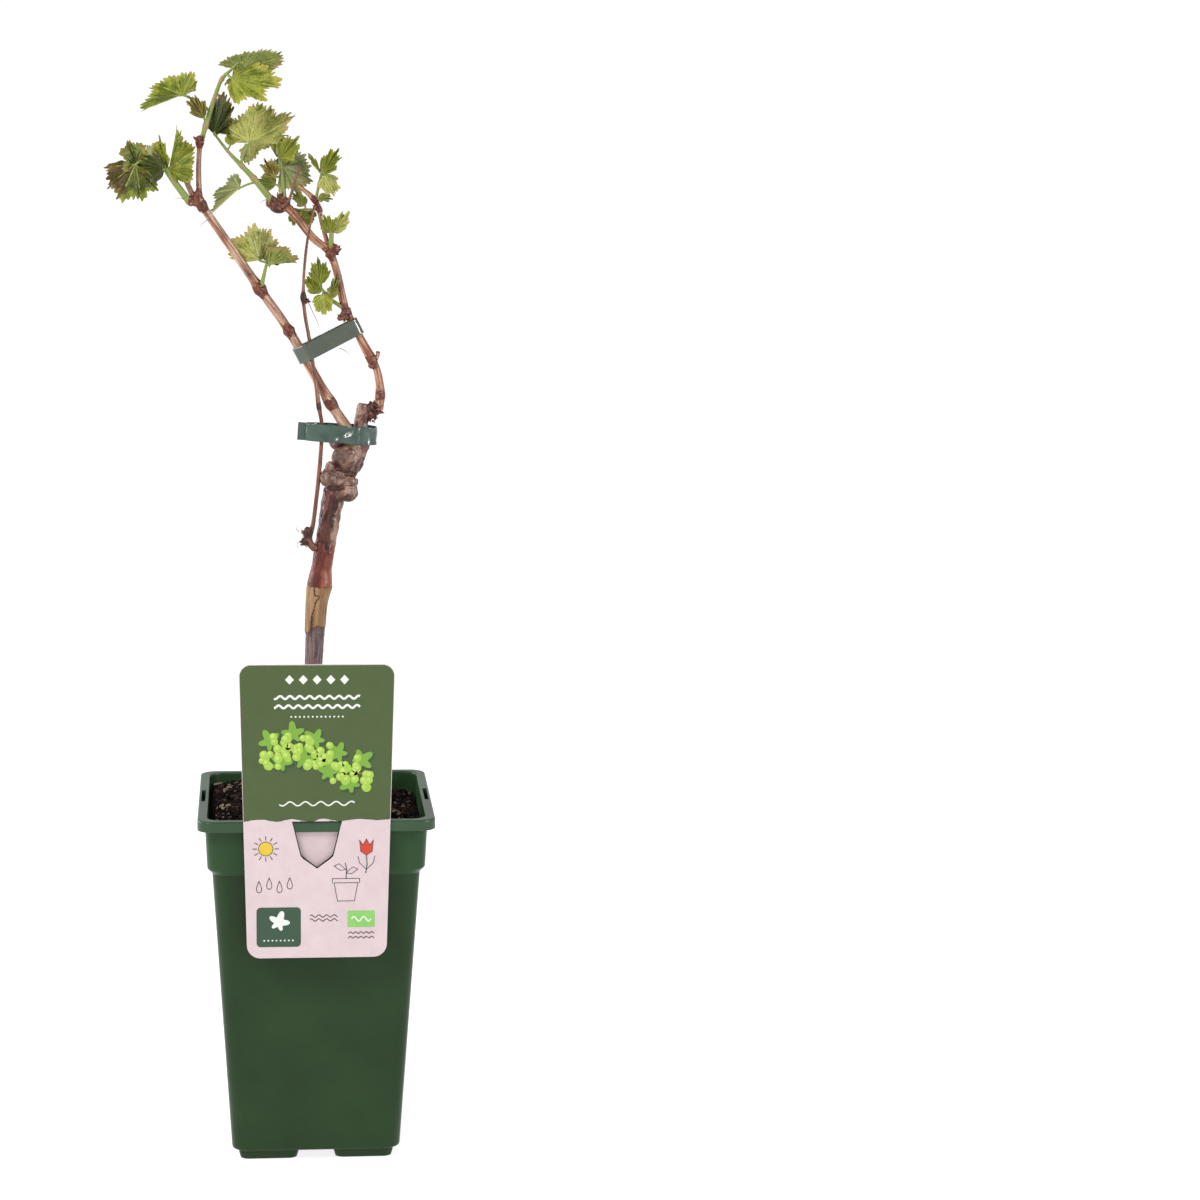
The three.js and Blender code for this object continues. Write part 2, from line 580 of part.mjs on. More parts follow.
// Where a limb passes a level of a tie, in the tie's own frame (across, depth), and the radius it needs there
function crossing(limb, middle, tilt, level) {
  const curve = new THREE.CatmullRomCurve3(growPath(limb));
  const turn = THREE.MathUtils.degToRad(tilt);
  const across = new THREE.Vector3(Math.cos(turn), 0, Math.sin(turn));
  const up = new THREE.Vector3(-Math.sin(turn), 0, Math.cos(turn));
  const centre = new THREE.Vector3(...middle).addScaledVector(up, level);
  const steps = CROSSING_STEPS;
  const distance = (step) => Math.abs(curve.getPoint(step / steps).sub(centre).dot(up));
  let nearest = 0;
  for (let step = 1; step <= steps; step += 1) {
    nearest = distance(step) < distance(nearest) ? step : nearest;
  }
  const offset = curve.getPoint(nearest / steps).sub(centre);
  const joint = Math.min(Math.floor((nearest / steps) * limb.joints.length), limb.joints.length - 1);
  const start = joint === 0 ? limb.radius : limb.joints[joint - 1][3];
  const radius = Math.max(start, limb.joints[joint][3]) / Math.abs(curve.getTangent(nearest / steps).dot(up));
  return { across: offset.dot(across), depth: offset.y, radius };
}

function held(limbs, { middle, tilt, width }) {
  return limbs.flatMap((limb) => [-0.5, 0, 0.5].map((share) => crossing(limb, middle, tilt, share * width)));
}

// The outline that a tape takes when it is pulled round circles
function hull(circles, clearance) {
  const turns = Array.from({ length: HULL_STEPS }, (_, step) => (step / HULL_STEPS) * 2 * Math.PI);
  const points = circles.flatMap(({ across, depth, radius }) => turns.map((turn) => {
    const reach = radius + clearance;
    return new THREE.Vector2(across + Math.cos(turn) * reach, depth + Math.sin(turn) * reach);
  }));
  const start = points.reduce((a, b) => (b.x < a.x ? b : a));
  const outline = [];
  let here = start;
  do {
    outline.push(here);
    let next = points[0] === here ? points[1] : points[0];
    for (const point of points) {
      const turn = next.clone().sub(here).cross(point.clone().sub(here));
      if (point !== here && turn < -1e-9) {
        next = point;
      }
    }
    here = next;
  } while (here !== start && outline.length < points.length);
  return outline;
}

function tapeGeometry(circles, { middle, tilt, width }) {
  const band = new THREE.Shape(hull(circles, TAPE_CLEARANCE + TAPE));
  band.holes.push(new THREE.Path(hull(circles, TAPE_CLEARANCE)));
  const loop = new THREE.ExtrudeGeometry(band, { depth: width, bevelEnabled: false });
  loop.translate(0, 0, -width / 2);
  loop.rotateY(-THREE.MathUtils.degToRad(tilt));
  loop.translate(...middle);
  return loop;
}

function upperTieGeometry() {
  return tapeGeometry(held([LEFT_CANE, THIN_SHOOT, RIGHT_CANE_LOWER], UPPER_TIE), UPPER_TIE);
}

// The lower tie's loop also keeps the bend at its left end, and the two ends of its tape stand out there
function lowerTieGeometry() {
  const { middle, tilt, width } = LOWER_TIE;
  const flag = block([-FLAG.length - SINK, -TAPE, -width / 2 - FLAG.drop], [0, TAPE, width / 2 - FLAG.drop]);
  flag.translate(LOWER_BEND.across - LOWER_BEND.radius - TAPE_CLEARANCE, LOWER_BEND.depth, 0);
  flag.rotateY(-THREE.MathUtils.degToRad(tilt));
  flag.translate(...middle);
  const loop = tapeGeometry([LOWER_BEND, ...held([TRUNK, THIN_SHOOT], LOWER_TIE)], LOWER_TIE);
  return toGeometry(join([loop, flag]));
}

// How far a blade reaches at a share of its spread, as a share of its length
function lobeReach(share) {
  const after = Math.max(1, LOBES.findIndex(([lobe]) => lobe >= share));
  const [a, low] = LOBES[after - 1];
  const [b, high] = LOBES[after];
  const blend = (1 - Math.cos(((share - a) / (b - a)) * Math.PI)) / 2;
  return low + (high - low) * blend;
}

// A blade: toothed lobes round the end of its stalk, each half folded at the midrib, and bent along it
function bladeGeometry({ root, blade, width, spread, fold, droop = 0 }) {
  const length = new THREE.Vector3(...blade).length();
  const along = new THREE.Vector3(...blade).normalize();
  const face = FACING.clone().addScaledVector(along, -FACING.dot(along)).normalize();
  const across = new THREE.Vector3().crossVectors(face, along);
  const [leftFold, rightFold] = fold.map((angle) => THREE.MathUtils.degToRad(angle));
  const bend = THREE.MathUtils.degToRad(droop) || NO_BEND;
  const teeth = length < SMALL_BLADE ? 3 : 5;
  const place = (share, reach, lift) => {
    const turn = THREE.MathUtils.degToRad(share * spread);
    const u = Math.cos(turn) * reach * length;
    const out = (Math.sin(Math.abs(turn)) * reach * width) / NATURAL_WIDTH;
    const side = Math.sign(turn);
    const tilt = [rightFold, (leftFold + rightFold) / 2, leftFold][side + 1];
    const v = side * (out * Math.cos(tilt) - lift * Math.sin(tilt));
    const height = out * Math.sin(tilt) + lift * Math.cos(tilt);
    const curve = (u / length) * bend;
    const arc = length / bend;
    return new THREE.Vector3(...root)
      .addScaledVector(along, (arc + height) * Math.sin(curve))
      .addScaledVector(across, v)
      .addScaledVector(face, height * Math.cos(curve) - arc * (1 - Math.cos(curve)));
  };
  const edge = [];
  for (let step = -2 * teeth; step <= 2 * teeth; step += 1) {
    const share = step / (2 * teeth);
    const notch = step % 2 === 0 ? 1 : 1 - TOOTH_DEPTH;
    edge.push({ share, reach: lobeReach(Math.abs(share)) * notch });
  }
  const loops = Math.abs(droop) < FLAT_DROOP ? [1] : [0.5, 1];
  const points = [];
  for (const lift of [BLADE_THICKNESS / 2, -BLADE_THICKNESS / 2]) {
    points.push(place(0, 0, lift));
    for (const loop of loops) {
      edge.forEach(({ share, reach }) => points.push(place(share, reach * loop, lift)));
    }
  }
  const count = edge.length;
  const half = 1 + loops.length * count;
  const index = [];
  const pair = (a, b, c) => index.push(a, b, c, half + a, half + c, half + b);
  const wall = (a, b) => index.push(a, half + a, half + b, a, half + b, b);
  for (let step = 0; step + 1 < count; step += 1) {
    pair(0, 1 + step, 2 + step);
    for (let loop = 0; loop + 1 < loops.length; loop += 1) {
      const a = 1 + loop * count + step;
      pair(a, a + count, a + count + 1);
      pair(a, a + count + 1, a + 1);
    }
    const outer = 1 + (loops.length - 1) * count + step;
    wall(outer, outer + 1);
  }
  const ends = loops.map((_, loop) => loop * count);
  const firstSide = [0, ...ends.map((offset) => 1 + offset)];
  const lastSide = [0, ...ends.map((offset) => offset + count)];
  for (let step = 0; step + 1 < firstSide.length; step += 1) {
    wall(firstSide[step], firstSide[step + 1]);
    wall(lastSide[step + 1], lastSide[step]);
  }
  const geometry = new THREE.BufferGeometry();
  const values = points.flatMap((point) => [point.x, point.y, point.z]);
  geometry.setAttribute('position', new THREE.BufferAttribute(new Float32Array(values), 3));
  geometry.setIndex(index);
  return geometry;
}

// A stalk from the stem's middle to just inside the blade
function stalkGeometry(start, end, radius) {
  const along = end.clone().sub(start);
  const length = along.length() + STALK_SINK;
  const stalk = new THREE.CylinderGeometry(radius * STALK_TAPER, radius, length, STALK_SIDES);
  stalk.translate(0, length / 2, 0);
  const up = new THREE.Vector3(0, 1, 0);
  stalk.applyQuaternion(new THREE.Quaternion().setFromUnitVectors(up, along.normalize()));
  stalk.translate(start.x, start.y, start.z);
  return stalk;
}

// A mass of leaves on one stem, kept clear of the limbs near it
function foliageGeometry(mass, obstacles) {
  const curve = new THREE.CatmullRomCurve3(growPath(mass));
  const parts = [limbGeometry(mass, STEM_SIDES, STEM_SPACING)];
  for (const leaf of mass.leaves) {
    const start = curve.getPoint(leaf.at);
    const root = new THREE.Vector3(...leaf.root);
    const size = new THREE.Vector3(...leaf.blade).length();
    parts.push(stalkGeometry(start, root, STALK_RADIUS + size * STALK_GAIN));
    parts.push(bladeGeometry(leaf));
  }
  let solid = join(parts);
  for (const obstacle of obstacles) {
    solid = solid.subtract(obstacle);
  }
  return toGeometry(largest(solid));
}

// The limbs, with the nodes that each one meets and is cut back from
const LIMBS = {
  left_cane: { limb: LEFT_CANE, lumps: FORK_LUMPS, meets: ['trunk'], color: COLOURS.cane },
  fork_limb: { limb: FORK_LIMB, meets: ['left_cane'], color: COLOURS.cane },
  fork_stub: { limb: FORK_STUB, meets: ['left_cane', 'fork_limb'], color: COLOURS.cane },
  right_cane_lower: { limb: RIGHT_CANE_LOWER, meets: ['trunk'], color: COLOURS.cane },
  right_cane_upper: {
    limb: RIGHT_CANE_UPPER, lumps: CANE_LUMPS, meets: ['right_cane_lower'], color: COLOURS.cane,
  },
  side_branch: { limb: SIDE_BRANCH, meets: ['right_cane_upper'], color: COLOURS.cane },
  dry_stub: { limb: DRY_STUB, meets: ['right_cane_upper'], color: COLOURS.stub },
  thin_shoot: { limb: THIN_SHOOT, meets: ['trunk', 'right_cane_upper', 'side_branch'], color: COLOURS.shoot },
};

const vine = new THREE.Group();

function addPart(name, geometry, color, roughness) {
  const mesh = new THREE.Mesh(geometry, new THREE.MeshStandardMaterial({ color, roughness, metalness: 0 }));
  mesh.name = name;
  vine.add(mesh);
}

addPart('pot', potGeometry(), COLOURS.pot, 0.4);
addPart('soil', soilGeometry(), COLOURS.soil, 0.95);
addPart('card', cardGeometry(), COLOURS.card, 0.5);
addPart('trunk', toGeometry(trunkSolid()), COLOURS.bark, 0.85);
const grownLimbs = { trunk: trunkSolid(CUT_BACK) };
for (const [name, part] of Object.entries(LIMBS)) {
  const whole = part.meets.reduce((solid, met) => solid.subtract(grownLimbs[met]), limbSolid(part));
  addPart(name, toGeometry(largest(whole)), part.color, 0.6);
  grownLimbs[name] = limbSolid(part, CUT_BACK);
}
addPart('upper_tie', upperTieGeometry(), COLOURS.tape, 0.5);
addPart('lower_tie', lowerTieGeometry(), COLOURS.tape, 0.5);
for (const [name, mass] of Object.entries(MASSES)) {
  addPart(name, foliageGeometry(mass, Object.values(grownLimbs)), COLOURS.leaf, 0.7);
}

export default vine;
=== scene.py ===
"""A young grapevine in a deep square nursery pot, in a pale soft studio. Lengths are millimetres until a mesh
is made, +Z up, and the front is the -Y side. The origin is the middle of the pot's base."""
import math

import bpy
import numpy as np
from mathutils import Matrix, Vector, geometry, kdtree, noise


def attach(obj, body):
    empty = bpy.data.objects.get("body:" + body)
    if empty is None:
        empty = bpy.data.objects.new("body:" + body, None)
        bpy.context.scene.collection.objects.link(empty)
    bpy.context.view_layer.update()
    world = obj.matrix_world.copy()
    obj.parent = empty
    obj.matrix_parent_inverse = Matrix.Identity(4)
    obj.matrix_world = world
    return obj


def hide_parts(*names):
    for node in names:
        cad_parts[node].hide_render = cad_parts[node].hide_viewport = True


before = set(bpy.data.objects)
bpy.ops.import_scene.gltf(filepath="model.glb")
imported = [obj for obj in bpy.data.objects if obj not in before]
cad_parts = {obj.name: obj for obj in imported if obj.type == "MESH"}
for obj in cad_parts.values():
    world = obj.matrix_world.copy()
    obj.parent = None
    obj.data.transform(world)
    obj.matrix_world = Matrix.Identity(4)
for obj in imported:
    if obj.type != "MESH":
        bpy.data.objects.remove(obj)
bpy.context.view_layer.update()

BODY = "root"
# Metres in a millimetre
MM = 0.001
# A surface's own colour, as a share of the colour that it shows under the studio's lights
LIGHT = 0.84
# A gap in millimetres that stands for none
FAR = 9.0
BLACK, WHITE = (0, 0, 0, 1), (1, 1, 1, 1)

# Pot: half widths across the flats, heights and edge radii
FOOT_HEIGHT = 6.5
BASE_HALF = 50.5
BODY_TOP_HALF = 61.5
BODY_TOP = 180.5
COLLAR_LOW_HALF = 64.4
COLLAR_TOP_HALF = 65.8
COLLAR_BOTTOM = 184
RIM_HALF = 70
RIM_TOP = 215
SKIRT_BOTTOM = 208.5
WALL = 1.5
CORNER = 9
CORNER_STEPS = 10
FOOT_INNER = 10
FOOT_OUTER = 47
FOOT_TAPER = 1.5
FOOT_CORNER = 4
CENTRE_FOOT_RADIUS = 11
DRAIN_RADIUS = 4
DRAIN_OFFSET = 30
SLOT_LENGTH = 30
SLOT_INNER = 66.1
SLOT_OUTER = 68.5
SLOT_FLOOR = SKIRT_BOTTOM + 1.4
RIB_BOTTOM = SKIRT_BOTTOM + 0.4
RIB_END = 1.2
RIB_INSET = 0.8

# Soil
SOIL_TOP = 206
SOIL_HALF = 63
SOIL_DEEP = 40
SOIL_MOUND = 9
SOIL_STEPS = 121
FIBRES = 3600
# How many of the fibres are of each kind of peat, as shares
FIBRE_KINDS = (0.5, 0.29, 0.13, 0.08)

# Card on the rim
CARD_TOP = 309
CARD_BOTTOM = 132.7
CARD_TOP_HALF = 45.3
CARD_BOTTOM_HALF = 41.2
CARD_TOP_CORNER = 7
CARD_BOTTOM_CORNER = 8
CARD_THICKNESS = 0.7
CARD_BACK = -70.3
CARD_FRONT = CARD_BACK - CARD_THICKNESS
TEAR = 215.6
TONGUE_HALF = 14.4
TONGUE_SHOULDER = 193
TONGUE_SHOULDER_HALF = 8.5
TONGUE_TIP = 187
TONGUE_Y = -67.3
SHOULDER_RISE = 1.6
SHOULDER_OUT = 0.8
SHOULDER_IN = 0.6
CARD_GAP = 0.3
NOTCH_X = 8.4
NOTCH_RADIUS = 1.3
INK = 0.05

# Limbs. A joint is its length, its lean from upright towards +X, its swing towards +Y, both in degrees, the
# limb's radius at its end, and how far the node there swells.
TRUNK = {
    "foot": (-7.1, 0, 204), "radius": 8.8,
    "joints": [
        (14, 3, 0, 6.2, 0), (78, 4, 0, 5.3, 0), (38, 3, 1, 6.1, 0), (12, 9, 0, 7.6, 0), (9, 7, 0, 6.3, 0),
        (30, 9, -1, 6.2, 0), (16, 11, 0, 6.8, 0), (26, 24, 0, 7.8, 0), (14, 17, 1, 8.4, 0),
    ],
}
TRUNK_HORN = {"foot": (27, 1, 436), "radius": 4.8, "joints": [(10, 6, 2, 4.2, 0), (8, 9, 0, 3.4, 0)]}
TRUNK_ARM = {"foot": (27.5, 1, 445.2), "radius": 3.6, "joints": [(6, 58, 0, 4.2, 0), (6.4, 32, 0, 3.6, 0)]}
LEFT_CANE = {
    "foot": (19.5, -2.4, 438.8), "radius": 3.4,
    "joints": [
        (18.6, -33, 5.6, 3, 0.9), (49.7, -30, 3.5, 2.8, 1), (30, -34.5, -5, 2.7, 1.4),
        (61, -34.5, -7, 2.4, 1.2),
    ],
}
FORK_LIMB = {
    "foot": (-67.6, -9.6, 573.5), "radius": 1.7, "joints": [(18.8, -1, 3, 1.5, 0), (15.5, 3, 3, 1.5, 1.2)],
}
FORK_STUB = {"foot": (-70.2, -8.4, 574), "radius": 1.8, "joints": [(17.5, -24, 4, 1.5, 0)]}
RIGHT_CANE_LOWER = {
    "foot": (37.4, 1, 450.6), "radius": 3.4,
    "joints": [(9, 10, 0, 2.6, 0.4), (15, -8, 0, 2.2, 0), (6.7, -27, 0, 2.2, 0.9), (33.5, -28, 2, 2.3, 1.2)],
}
RIGHT_CANE_UPPER = {
    "foot": (18.2, 2.1, 509), "radius": 2.5,
    "joints": [(35.4, -15.1, 3.3, 2.2, 1.2), (13.4, -48, 2, 2.3, 0), (22, -40, 2, 2.6, 0), (7, -60, 4, 3, 0)],
}
SIDE_BRANCH = {
    "foot": (8.6, 5.6, 545), "radius": 1.4,
    "joints": [
        (7.3, -15.6, 15, 1.4, 0), (11.5, -15, 2, 1.3, 0), (6, -10, 2, 1.2, 0.8), (6, -26, 0, 1.2, 0.8),
        (13, -48, 2, 1.1, 0.3),
    ],
}
DRY_STUB = {"foot": (-15.6, 4.6, 572.5), "radius": 0.9, "joints": [(23, 17, -8, 0.8, 0.5)]}
THIN_SHOOT = {
    "foot": (0.4, -2.6, 366.4), "radius": 2.2,
    "joints": [
        (6.4, -38, -2, 2.3, 0), (12.5, 12, -8, 1.3, 0), (57, 5, 1, 1.2, 0), (13, -8, -10, 1.2, 0.4),
        (36, -8, 3, 1.1, 0), (29, -8, 3, 1, 1), (34, 4, -1, 0.8, 0), (21, 12, 5, 0.7, 0.3),
    ],
}

# Lumps of the woody parts, as middles and half sizes. The trunk's knobs are a fold, the round one above it
# and those at its sides.
KNOBS = [
    [
        ((19.6, -3.8, 401.8), (6.2, 7, 6.4)), ((9, -3, 409.8), (6.6, 7.2, 6)),
        ((14.4, -4.4, 408.2), (5.4, 6.4, 4.4)), ((19.8, -3.6, 407.8), (6, 6.8, 4.6)),
        ((10, -1.2, 415), (4.2, 5.4, 4.6)),
    ],
    [((18.4, -3.4, 422.6), (8.6, 8.6, 7.8))],
    [((25, 0, 419), (4.4, 6, 6)), ((26, 0, 430), (4.4, 6, 6)), ((13.4, 0.6, 431), (5, 6, 5))],
]
TRUNK_LUMPS = sum(KNOBS, []) + [
    ((14.5, -1.6, 413), (8, 7, 5)), ((4.2, -4.8, 345), (3.4, 2.6, 2)), ((34, 1, 449), (3.4, 3.2, 3.6)),
    ((36.5, -0.5, 452.5), (2.8, 2.6, 2.4)), ((30.6, -1.2, 448), (2, 1.8, 3)),
]
FORK_LUMPS = [
    ((-68.6, -10, 574), (4.2, 3.8, 3.8)), ((-72.4, -11, 573.8), (2.9, 2.8, 3.2)),
    ((-66, -9.6, 571), (3.2, 3.2, 4.2)), ((-68.2, -9.4, 577.6), (2.6, 2.4, 3)),
    ((-67.3, -8, 608.2), (2.6, 2.5, 3.8)),
]
RIGHT_SPUR = {"foot": (33.6, 0, 477), "radius": 1.6, "joints": [(6.4, 34, 0, 1, 0), (3.2, 6, 0, 0.9, 0.4)]}
RIGHT_LUMPS = [
    ((33.8, 0, 477.4), (2.3, 2.3, 2.6)),
    ((17.4, 0.4, 506.4), (3, 2.8, 3)), ((14.8, -0.4, 505), (1.8, 1.8, 1.6)), ((12, 4, 545.4), (2.8, 2.8, 3.4)),
    ((-21.4, 6, 570.8), (5.6, 4.8, 4.6)), ((-25.8, 6.2, 572.4), (3.3, 3.6, 3.4)),
    ((-17.4, 5.4, 573.2), (3.2, 3.4, 3)), ((-20.6, 2.6, 573.6), (2.6, 2, 2.4)),
    ((-24.4, 3.4, 574.6), (2, 1.8, 2)),
]
SHOOT_LUMPS = [
    ((-4.4, -3, 376.4), (2.6, 2.4, 4)), ((-6.4, -3.4, 371.4), (2, 2, 2.6)), ((-5.9, -1.6, 515.4), (2, 1.9, 2.2)),
]

# The mesh of the woody parts, before and after they are grown into one skin
LIMB_STEP = 1
LIMB_CORNERS = 20
TRUNK_VOXEL = 0.5
CANE_VOXEL = 0.34
SHOOT_VOXEL = 0.3
TWIG_VOXEL = 0.2

# Ties: tape in closed loops round the limbs. The lower one also goes round a bend of its own, given as its place
# across, its depth and its radius, and its two ends stand out there.
TAPE_CLEARANCE = 0.9
TAPE = 0.3
TAPE_STEP = 0.6
TAPE_ROWS = 14
UPPER_TIE = {"middle": (8, 0, 491.5), "tilt": 27, "width": 10}
LOWER_TIE = {"middle": (12, 0, 436.5), "tilt": -3.5, "width": 10.5}
LOWER_BEND = (-15, -1.5, 2)
END_ROOT = 0.4
END_LENGTH = 4.4

# Leaves, by the rule that the plant's solids follow. A lobe's tip or a bay between lobes is a share of the
# blade's spread and how far the blade reaches there, as a share of its length.
LOBES = np.array([(0, 1), (0.2, 0.84), (0.4, 0.94), (0.6, 0.78), (0.8, 0.84), (1, 0.4)])
MAIN_VEINS = (0, 0.4, -0.4, 0.8, -0.8)
MINOR_VEINS = (0.2, -0.2, 0.6, -0.6)
NATURAL_WIDTH = 1.6
FACING = np.array((0, -0.9, 0.44))
# What a blade that doesn't droop is bent by, in radians, as a bend of 0 has no radius
NO_BEND = 1e-4
BLADE_THICKNESS = 0.34
RIM_THICKNESS = 0.14


def leaf(at, root, blade, width, spread, fold, look, droop=0):
    """A leaf. At is where its stalk leaves the stem, as a share of the stem, blade its midrib, spread the angle
    from that to the last lobe on either side, and fold the lift of its left and right half, in degrees."""
    return {
        "at": at, "root": np.array(root, float), "blade": np.array(blade, float), "width": width,
        "spread": spread, "fold": fold, "look": look, "droop": droop,
    }


MASSES = {
    "foliage_left": {
        "foot": (-73.2, -11, 573), "radius": 2.1,
        "joints": [(16.6, -36, -4.5, 1.9, 0), (10, -34, -8, 1.5, 0.4)],
        "leaves": [
            leaf(0.96, (-104, -18, 595), (-10, -5, -21.5), 38, 84, (-20, -24), "half bronze", droop=14),
            leaf(0.97, (-103.5, -13, 594.5), (-5, 2, 15.5), 20, 120, (30, 30), "crumpled"),
            leaf(0.9, (-87.5, -16, 592), (-17.5, -3, 3), 21, 84, (-14, 20), "dark", droop=20),
            leaf(1, (-86, -12, 592), (-4.2, 1, 20.5), 14, 85, (0, 60), "lime"),
            leaf(1, (-85, -13, 592), (5, -3, 25.5), 30, 122, (-130, 0), "fresh"),
            leaf(0.95, (-94, -8, 598), (-10, 13, -3), 19, 130, (15, 15), "fresh", droop=20),
        ],
    },
    "foliage_top": {
        "foot": (-67, -7.6, 606), "radius": 1.6,
        "joints": [(11.6, 16, 2, 1.5, 0.4), (18, 18, 2, 1.3, 0), (11, 22, 0, 1.1, 0.4), (9, 45, -4, 0.8, 0)],
        "leaves": [
            leaf(0.24, (-77, -10, 635), (-24.5, -4, -9.6), 26, 150, (-155, 0), "lit lime"),
            leaf(0.2, (-64.5, -8, 621.5), (-10.4, -2, 14.6), 15, 72, (20, 20), "bronze"),
            leaf(1, (-42.5, -5, 650.6), (26, 2, 8), 18, 150, (-8, -60), "olive"),
            leaf(0.78, (-48.5, -11, 645), (30.5, -7, -5), 33, 92, (-24, 0), "lime tip"),
            leaf(0.98, (-40, 2, 650), (8, 16, -1), 17, 120, (15, 15), "olive", droop=20),
        ],
    },
    "foliage_centre": {
        "foot": (-25.6, 4.6, 574.4), "radius": 2.1,
        "joints": [
            (16.5, -39.5, -7.8, 1.8, 0.4), (10, -44, -4, 1.4, 0.3), (11, -44, -3, 1, 0),
            (12, -38, -2, 0.7, 0),
        ],
        "leaves": [
            leaf(0.3, (-38, -4, 608), (26.5, -5, 15.6), 42, 142, (0, -79), "pale"),
            leaf(0.1, (-44, -2, 581.3), (-16, -5, -14.5), 20, 125, (-125, 0), "grey"),
            leaf(1, (-59, 0, 612.5), (7.5, 3, 26), 20, 75, (-35, -35), "dark tip"),
            leaf(0.72, (-49.5, 3, 606), (1, 3, 11), 9, 90, (20, 20), "lime"),
            leaf(0.95, (-56.5, 5, 613), (5, 14, 6), 17, 120, (15, 15), "fresh", droop=20),
        ],
    },
    "foliage_middle": {
        "foot": (-18, 6, 575), "radius": 1.6, "joints": [(16, -6, 4, 1.2, 0), (9, -6, 3, 0.9, 0.4)],
        "leaves": [
            leaf(0.35, (-23.6, 6, 587.4), (-7.5, -2, 12), 14, 80, (20, 20), "striped"),
            leaf(0.12, (-23, 10, 583), (-12, 3, 2.6), 12, 90, (10, 10), "olive"),
            leaf(0.98, (-21, 9, 598.5), (-1.6, 2, 18.5), 10, 80, (20, 20), "lime"),
            leaf(1, (-20.6, 7, 598.5), (12.4, -3, 13.4), 17, 82, (10, 10), "lime"),
            leaf(0.7, (-18.4, 10, 594), (18.6, 7, -7.6), 31, 106, (-8, -8), "grey tip", droop=12),
            leaf(0.5, (-20, 12, 592), (-6, 13, 5), 15, 120, (15, 15), "olive", droop=20),
        ],
    },
    "foliage_right": {
        "foot": (0.4, 8.4, 573.4), "radius": 1, "joints": [(10.8, 12, -2, 0.8, 0.3), (7.5, 13, -2, 0.7, 0)],
        "leaves": [
            leaf(1, (3.4, 9, 590.5), (-8, 2, 12), 6, 60, (20, 20), "lime"),
            leaf(1, (5, 7.5, 590), (10.5, -4, 16), 14, 76, (10, 10), "fresh"),
            leaf(0.9, (6, 6, 589.5), (6.4, -4, -12.5), 15, 84, (-10, -10), "pale"),
            leaf(0.12, (2.6, 8, 575.5), (9, -3, -1), 8, 90, (20, 20), "olive"),
            leaf(0.9, (5, 11, 589), (2, 13, -3), 12, 120, (10, 10), "fresh"),
        ],
    },
    "foliage_under": {
        "foot": (1, 8.4, 568.8), "radius": 0.8, "joints": [(11, -92, 10, 0.6, 0)],
        "leaves": [
            leaf(0.5, (-5.5, 10.5, 571), (-9, 2, 8), 9, 90, (10, 10), "olive"),
            leaf(1, (-11.5, 11.5, 567.5), (-1, 1, -9), 9, 110, (10, 10), "lime"),
            leaf(0.4, (-4.5, 11.5, 567.5), (0, 1, -9.5), 12, 100, (5, 5), "fresh"),
        ],
    },
    "foliage_bud": {
        "foot": (9.4, 4.3, 545), "radius": 1.7, "joints": [(10.6, 3, 0, 1.3, 0)],
        "leaves": [
            leaf(0.9, (9.2, 3.6, 555.5), (-5, -3, 12), 11, 80, (10, 10), "fresh"),
            leaf(0.9, (10.6, 4.6, 555.5), (10.5, 1, 13.5), 11, 80, (10, 10), "pale"),
        ],
    },
    "foliage_low": {
        "foot": (16.8, 1.6, 511), "radius": 1.3, "joints": [(9.5, -55, -2.4, 1.1, 0), (5, -40, 4, 0.8, 0.3)],
        "leaves": [
            leaf(1, (3, 0.6, 524.5), (-1, -1, 17.5), 17, 70, (8, 8), "fresh"),
            leaf(0.95, (1.6, 3.6, 519.5), (-7, 4, 11), 11, 90, (10, 10), "lime"),
            leaf(0.5, (9.8, -1, 517.5), (4, -2, 15), 8, 90, (15, 15), "olive"),
            leaf(0.9, (4.4, -1, 519), (1, -4, -13), 14, 90, (-10, -10), "lime"),
        ],
    },
    "foliage_cane": {
        "foot": (-31.6, -3.6, 523.6), "radius": 1.4, "joints": [(12.8, 12.8, 7.6, 0.9, 0)],
        "leaves": [
            leaf(0.95, (-32.8, -1, 539), (-5.2, 2, 21.8), 37, 86, (-10, -38), "grey veins"),
            leaf(0.95, (-27.3, -4, 536.4), (18.5, -4, 5), 22, 100, (0, -120), "bronze tip"),
            leaf(0.9, (-28, 1, 538), (5, 14, 3), 15, 130, (15, 15), "olive", droop=20),
        ],
    },
}

# Leaf colours: each runs in even shades from a painted shade for its folds, by the blade's own colour,
# to its margin's
SHADES = 9
RAMPS = {
    "fresh": ("39420a", "7b8420", "ae9c44"), "lime": ("505a0e", "929a30", "b8aa4a"),
    "olive": ("364012", "77833c", "987e42"), "dark": ("161d04", "3a4408", "765c1c"),
    "pale": ("5e6426", "b0b25e", "c0a260"), "grey": ("545c38", "848b56", "a49c64"),
    "bronze": ("342a0c", "625016", "9c8a3e"), "vein": ("868e38", "a0a650", "aca85c"),
    "dark_vein": ("38460e", "4c5a18", "5e661e"), "mid_vein": ("78823a", "929a48", "9ca050"),
    "pale_vein": ("a2a85e", "b8bc74", "c0b67c"),
}
RAMP_NAMES = list(RAMPS)


def leaf_look(ramp, middle, edge, reach, vein="vein", lean=0, warp=0.03, side=1, half=None):
    """What the viewer sees of a leaf: its colours, how far they are from the painted fold shade at -1 to the
    margin's at 1, in the middle and at the edge, how wide that edge is as a share of the blade, its veins'
    colours, any lean of the shades to one half, how far it is crumpled, side -1 for its underside, and a half of
    other colours"""
    return {
        "ramp": ramp, "middle": middle, "edge": edge, "reach": reach, "vein": vein, "lean": lean, "warp": warp,
        "side": side, "half": half,
    }


